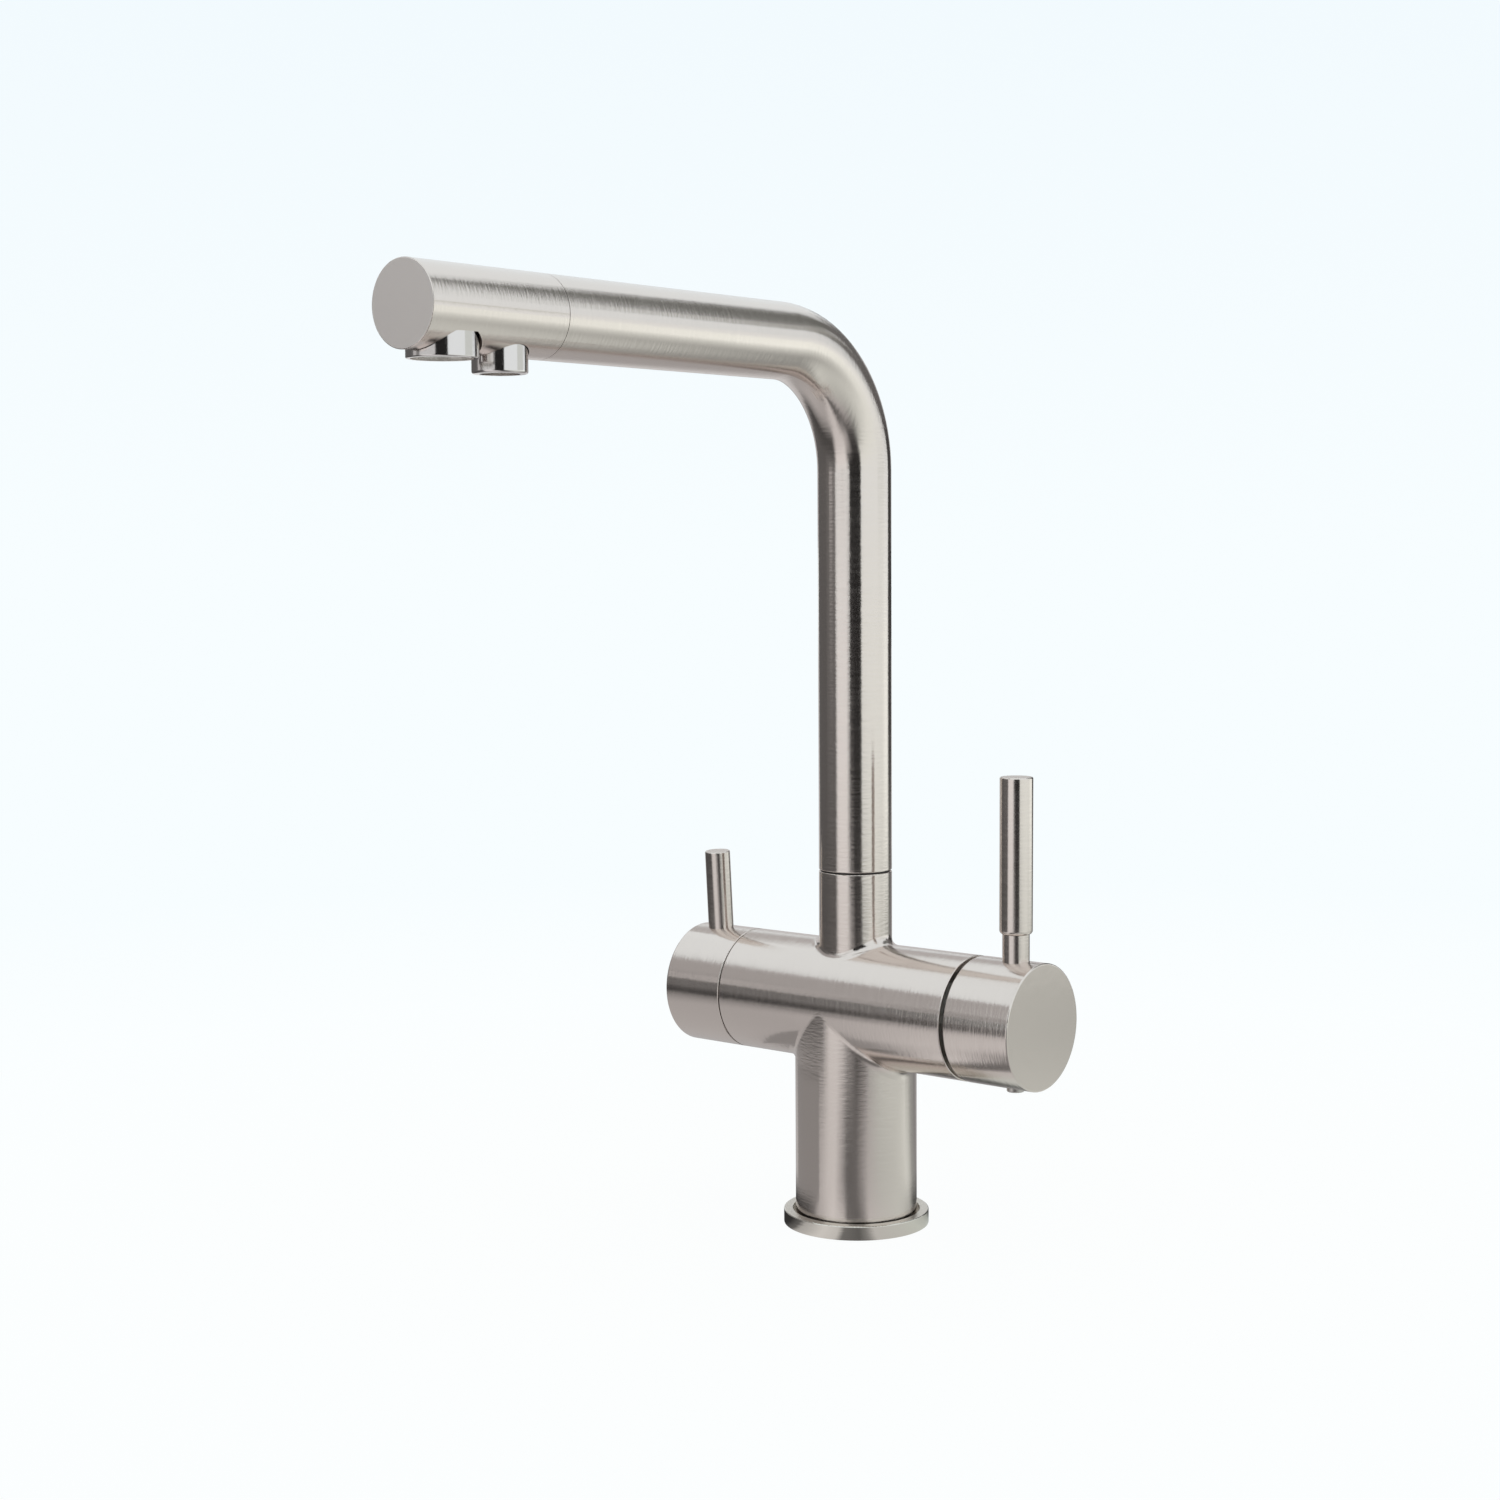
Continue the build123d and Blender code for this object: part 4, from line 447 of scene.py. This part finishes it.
def along_body(tree, place):
    """Upright in column and collar, and crosswise in the barrel between them."""
    at = coordinates(tree, place)
    over_crease = calculated(tree, "ADD", calculated(tree, "ABSOLUTE", at["X"]), at["Z"])
    barrel = calculated(tree, "GREATER_THAN", over_crease, barrel_height)
    squares = [calculated(tree, "MULTIPLY", at[axis], at[axis]) for axis in "XY"]
    inside = calculated(tree, "LESS_THAN", calculated(tree, "ADD", *squares), COLLAR_SPREAD ** 2)
    collar_foot = barrel_height + barrel_radius * COLLAR_START
    collar = calculated(tree, "MULTIPLY", inside,
                        calculated(tree, "GREATER_THAN", at["Z"], collar_foot))
    lower = mixed(tree, "VECTOR", barrel, UPRIGHT, CROSSWISE)
    return mixed(tree, "VECTOR", collar, lower, UPRIGHT)


def along_spout(tree, place):
    """Upright in the tube's foot and forward in its run, for strokes of an even width."""
    high = calculated(tree, "GREATER_THAN", coordinates(tree, place)["Z"], STROKES_TURN_HEIGHT)
    return mixed(tree, "VECTOR", high, UPRIGHT, FORWARD)


def along_tube(tree, place):
    """The tube's own direction, which turns steadily from upright to forward in the bend."""
    at = coordinates(tree, place)
    behind, above = (calculated(tree, "MAXIMUM", calculated(tree, "SUBTRACT", at[axis], middle), 0)
                     for axis, middle in bend_centre.items())
    flow = add(tree, "ShaderNodeCombineXYZ", Y=calculated(tree, "MULTIPLY", above, -1), Z=behind)
    return calculated_vector(tree, "NORMALIZE", flow.outputs[0])


def brushed_metal(name, along, tone=STEEL, rough=ROUGH, face_tone=STEEL, face_rough=FACE_ROUGH,
                  wave_depth=WAVE_DEPTH, drawn=DRAWN, lengthwise=None):
    """Satin metal. Its strokes run round the axis that along gives, so they blur reflections
    along it, or along the one that lengthwise gives. End faces are satin in all directions."""
    material, tree, place = new_surface(name)
    axis = along(tree, place)
    flow = lengthwise(tree, place) if lengthwise else axis
    facing = end_face(tree, flow)
    strokes = strokes_round(tree, place, axis, METAL_GRAIN.scale, STROKE_LENGTH)
    waves = strokes_round(tree, place, axis, WAVE_SCALE, WAVE_LENGTH)
    fine = relief(tree, strokes, METAL_GRAIN.strength, METAL_GRAIN.depth)
    face_gloss = mapped(tree, facing, (0.0, 1.0), (0.0, face_rough))
    shader = add(
        tree, "ShaderNodeBsdfPrincipled", Metallic=1.0,
        Base_Color=mixed(tree, "RGBA", facing, clouded(tree, place, tone, METAL_GRAIN), face_tone),
        Roughness=calculated(tree, "MAXIMUM", varied_gloss(tree, strokes, rough), face_gloss),
        Anisotropic=mapped(tree, facing, (0.0, 1.0), (drawn, 0.0)),
        Normal=relief(tree, waves, WAVE_STRENGTH, wave_depth, Normal=fine),
        Tangent=flow)
    add(tree, "ShaderNodeOutputMaterial", Surface=shader.outputs[0])
    return material


def plain(name, tone, rough, metallic=0.0, grain=MOULDED_GRAIN):
    """Moulded, cast, drawn or polished surface, with an even grain in its gloss and relief."""
    material, tree, place = new_surface(name)
    pattern = noise(tree, place, grain.scale)
    shader = add(
        tree, "ShaderNodeBsdfPrincipled", Metallic=metallic,
        Base_Color=clouded(tree, place, tone, grain),
        Roughness=varied_gloss(tree, pattern, rough),
        Normal=relief(tree, pattern, grain.strength, grain.depth))
    add(tree, "ShaderNodeOutputMaterial", Surface=shader.outputs[0])
    return material


# Brushed metals: the axis that the strokes run round, and what differs from plain brushed steel
BRUSHED = {
    "brushed_spout": dict(along=along_spout, lengthwise=along_tube),
    "brushed_body": dict(along=along_body),
    "brushed_flange": dict(along=fixed_axis(UPRIGHT), tone=FLANGE_STEEL, rough=0.10,
                           drawn=0.3, face_tone=FLANGE_STEEL),
    # the caps' end faces carry painted shade
    "brushed_caps": dict(along=fixed_axis(CROSSWISE), face_tone=CAP_FACE_SHADED_STEEL, face_rough=0.25),
    "brushed_levers": dict(along=fixed_axis(UPRIGHT), wave_depth=LEVER_WAVE_DEPTH),
    # the nozzle's end face carries painted light
    "brushed_nozzle": dict(along=fixed_axis(FORWARD), face_tone=NOZZLE_FACE_LIT_STEEL,
                           face_rough=0.55),
}

# Other surfaces: tone and roughness, then 1.0 for metal, and a grain other than the moulded one
PLAIN = {
    "polished_outlets": ((0.77, 0.73, 0.71), 0.12, 1.0, METAL_GRAIN),
    "plug_metal": ((0.6, 0.57, 0.54), 0.15, 1.0, METAL_GRAIN),
    "brass": ((0.72, 0.52, 0.24), 0.32, 1.0),
    "copper": ((0.80, 0.40, 0.24), 0.30, 1.0),
    "plain_steel": ((0.55, 0.54, 0.52), 0.35, 1.0),
    "ceramic": ((0.86, 0.85, 0.81), 0.15),
    "pale_plastic": ((0.78, 0.78, 0.75), 0.45),
    "dark_plastic": ((0.02, 0.02, 0.02), 0.5),
    "hose_plastic": ((0.72, 0.75, 0.77), 0.4),
    "rubber": ((0.02, 0.02, 0.02), 0.7),
}

looks = {name: brushed_metal(name, **look) for name, look in BRUSHED.items()}
looks.update({name: plain(name, *look) for name, look in PLAIN.items()})

slot_of = {part["node"]: part["material_slot"] for part in frame["record"]["subparts"]}
for node, obj in frame["nodes"].items():
    obj.data.materials.clear()
    obj.data.materials.append(looks[slot_of[node]])

make_world()
make_floor()
make_camera()

# Cards and panels, dark and light, that the metal mirrors
make_card("card_camera", 22, 57, -5, 26, 0.018)
make_card("card_left", -115, -60, -5, 13, 0.12)
make_card("card_left_middle", -60, -49, 5.8, 14, 0.14)
make_card("card_front_left", -60, -25, -5, 5.8, 0.155)
make_card("card_front_left_middle", -49, -36, 5.8, 14, 0.54)
make_card("card_front_middle", -36, -25, 5.8, 14, 0.26)
make_card("card_front_high", -25, 22.5, 9, 14, 0.58)
make_card("card_right_high", 115, 150, 8, 14, 0.75)
make_card("card_front_left_high", -60, -25, 14, 34, 0.42)
make_card("card_left_high", -108, -60, 13, 34, 0.34)
make_card("card_right_edge", 166, 205, -5, 12, 0.05)
make_panel("panel_back_left", 195, 248, 0.26, 0.42, 0.50)
make_panel("panel_back_left_low", 195, 248, 0.10, 0.21, 0.62)
make_panel("panel_foot_left", -78, -19, 0.006, 0.056, 0.30, FOOT_PANEL_DISTANCE)
make_card("card_back_right", 152, 212, 12, 26, 0.14)
make_card("card_back_edge", 168, 198, 26, 35, 0.16)
make_card("card_back_high", 140, 178, 32, 52, 0.18)
make_card("card_back_middle", 140, 165, 24, 32, 0.40)

make_softbox("lamp_right", 110, 30, 1.6, (1.4, 1.0), 0.9)
make_softbox("lamp_left", 0, 30, 1.6, (0.8, 1.2), 0.8)
make_softbox("lamp_top", 40, 80, 1.5, (1.2, 1.2), 0.9)

bpy.context.scene.view_settings.view_transform = "Standard"
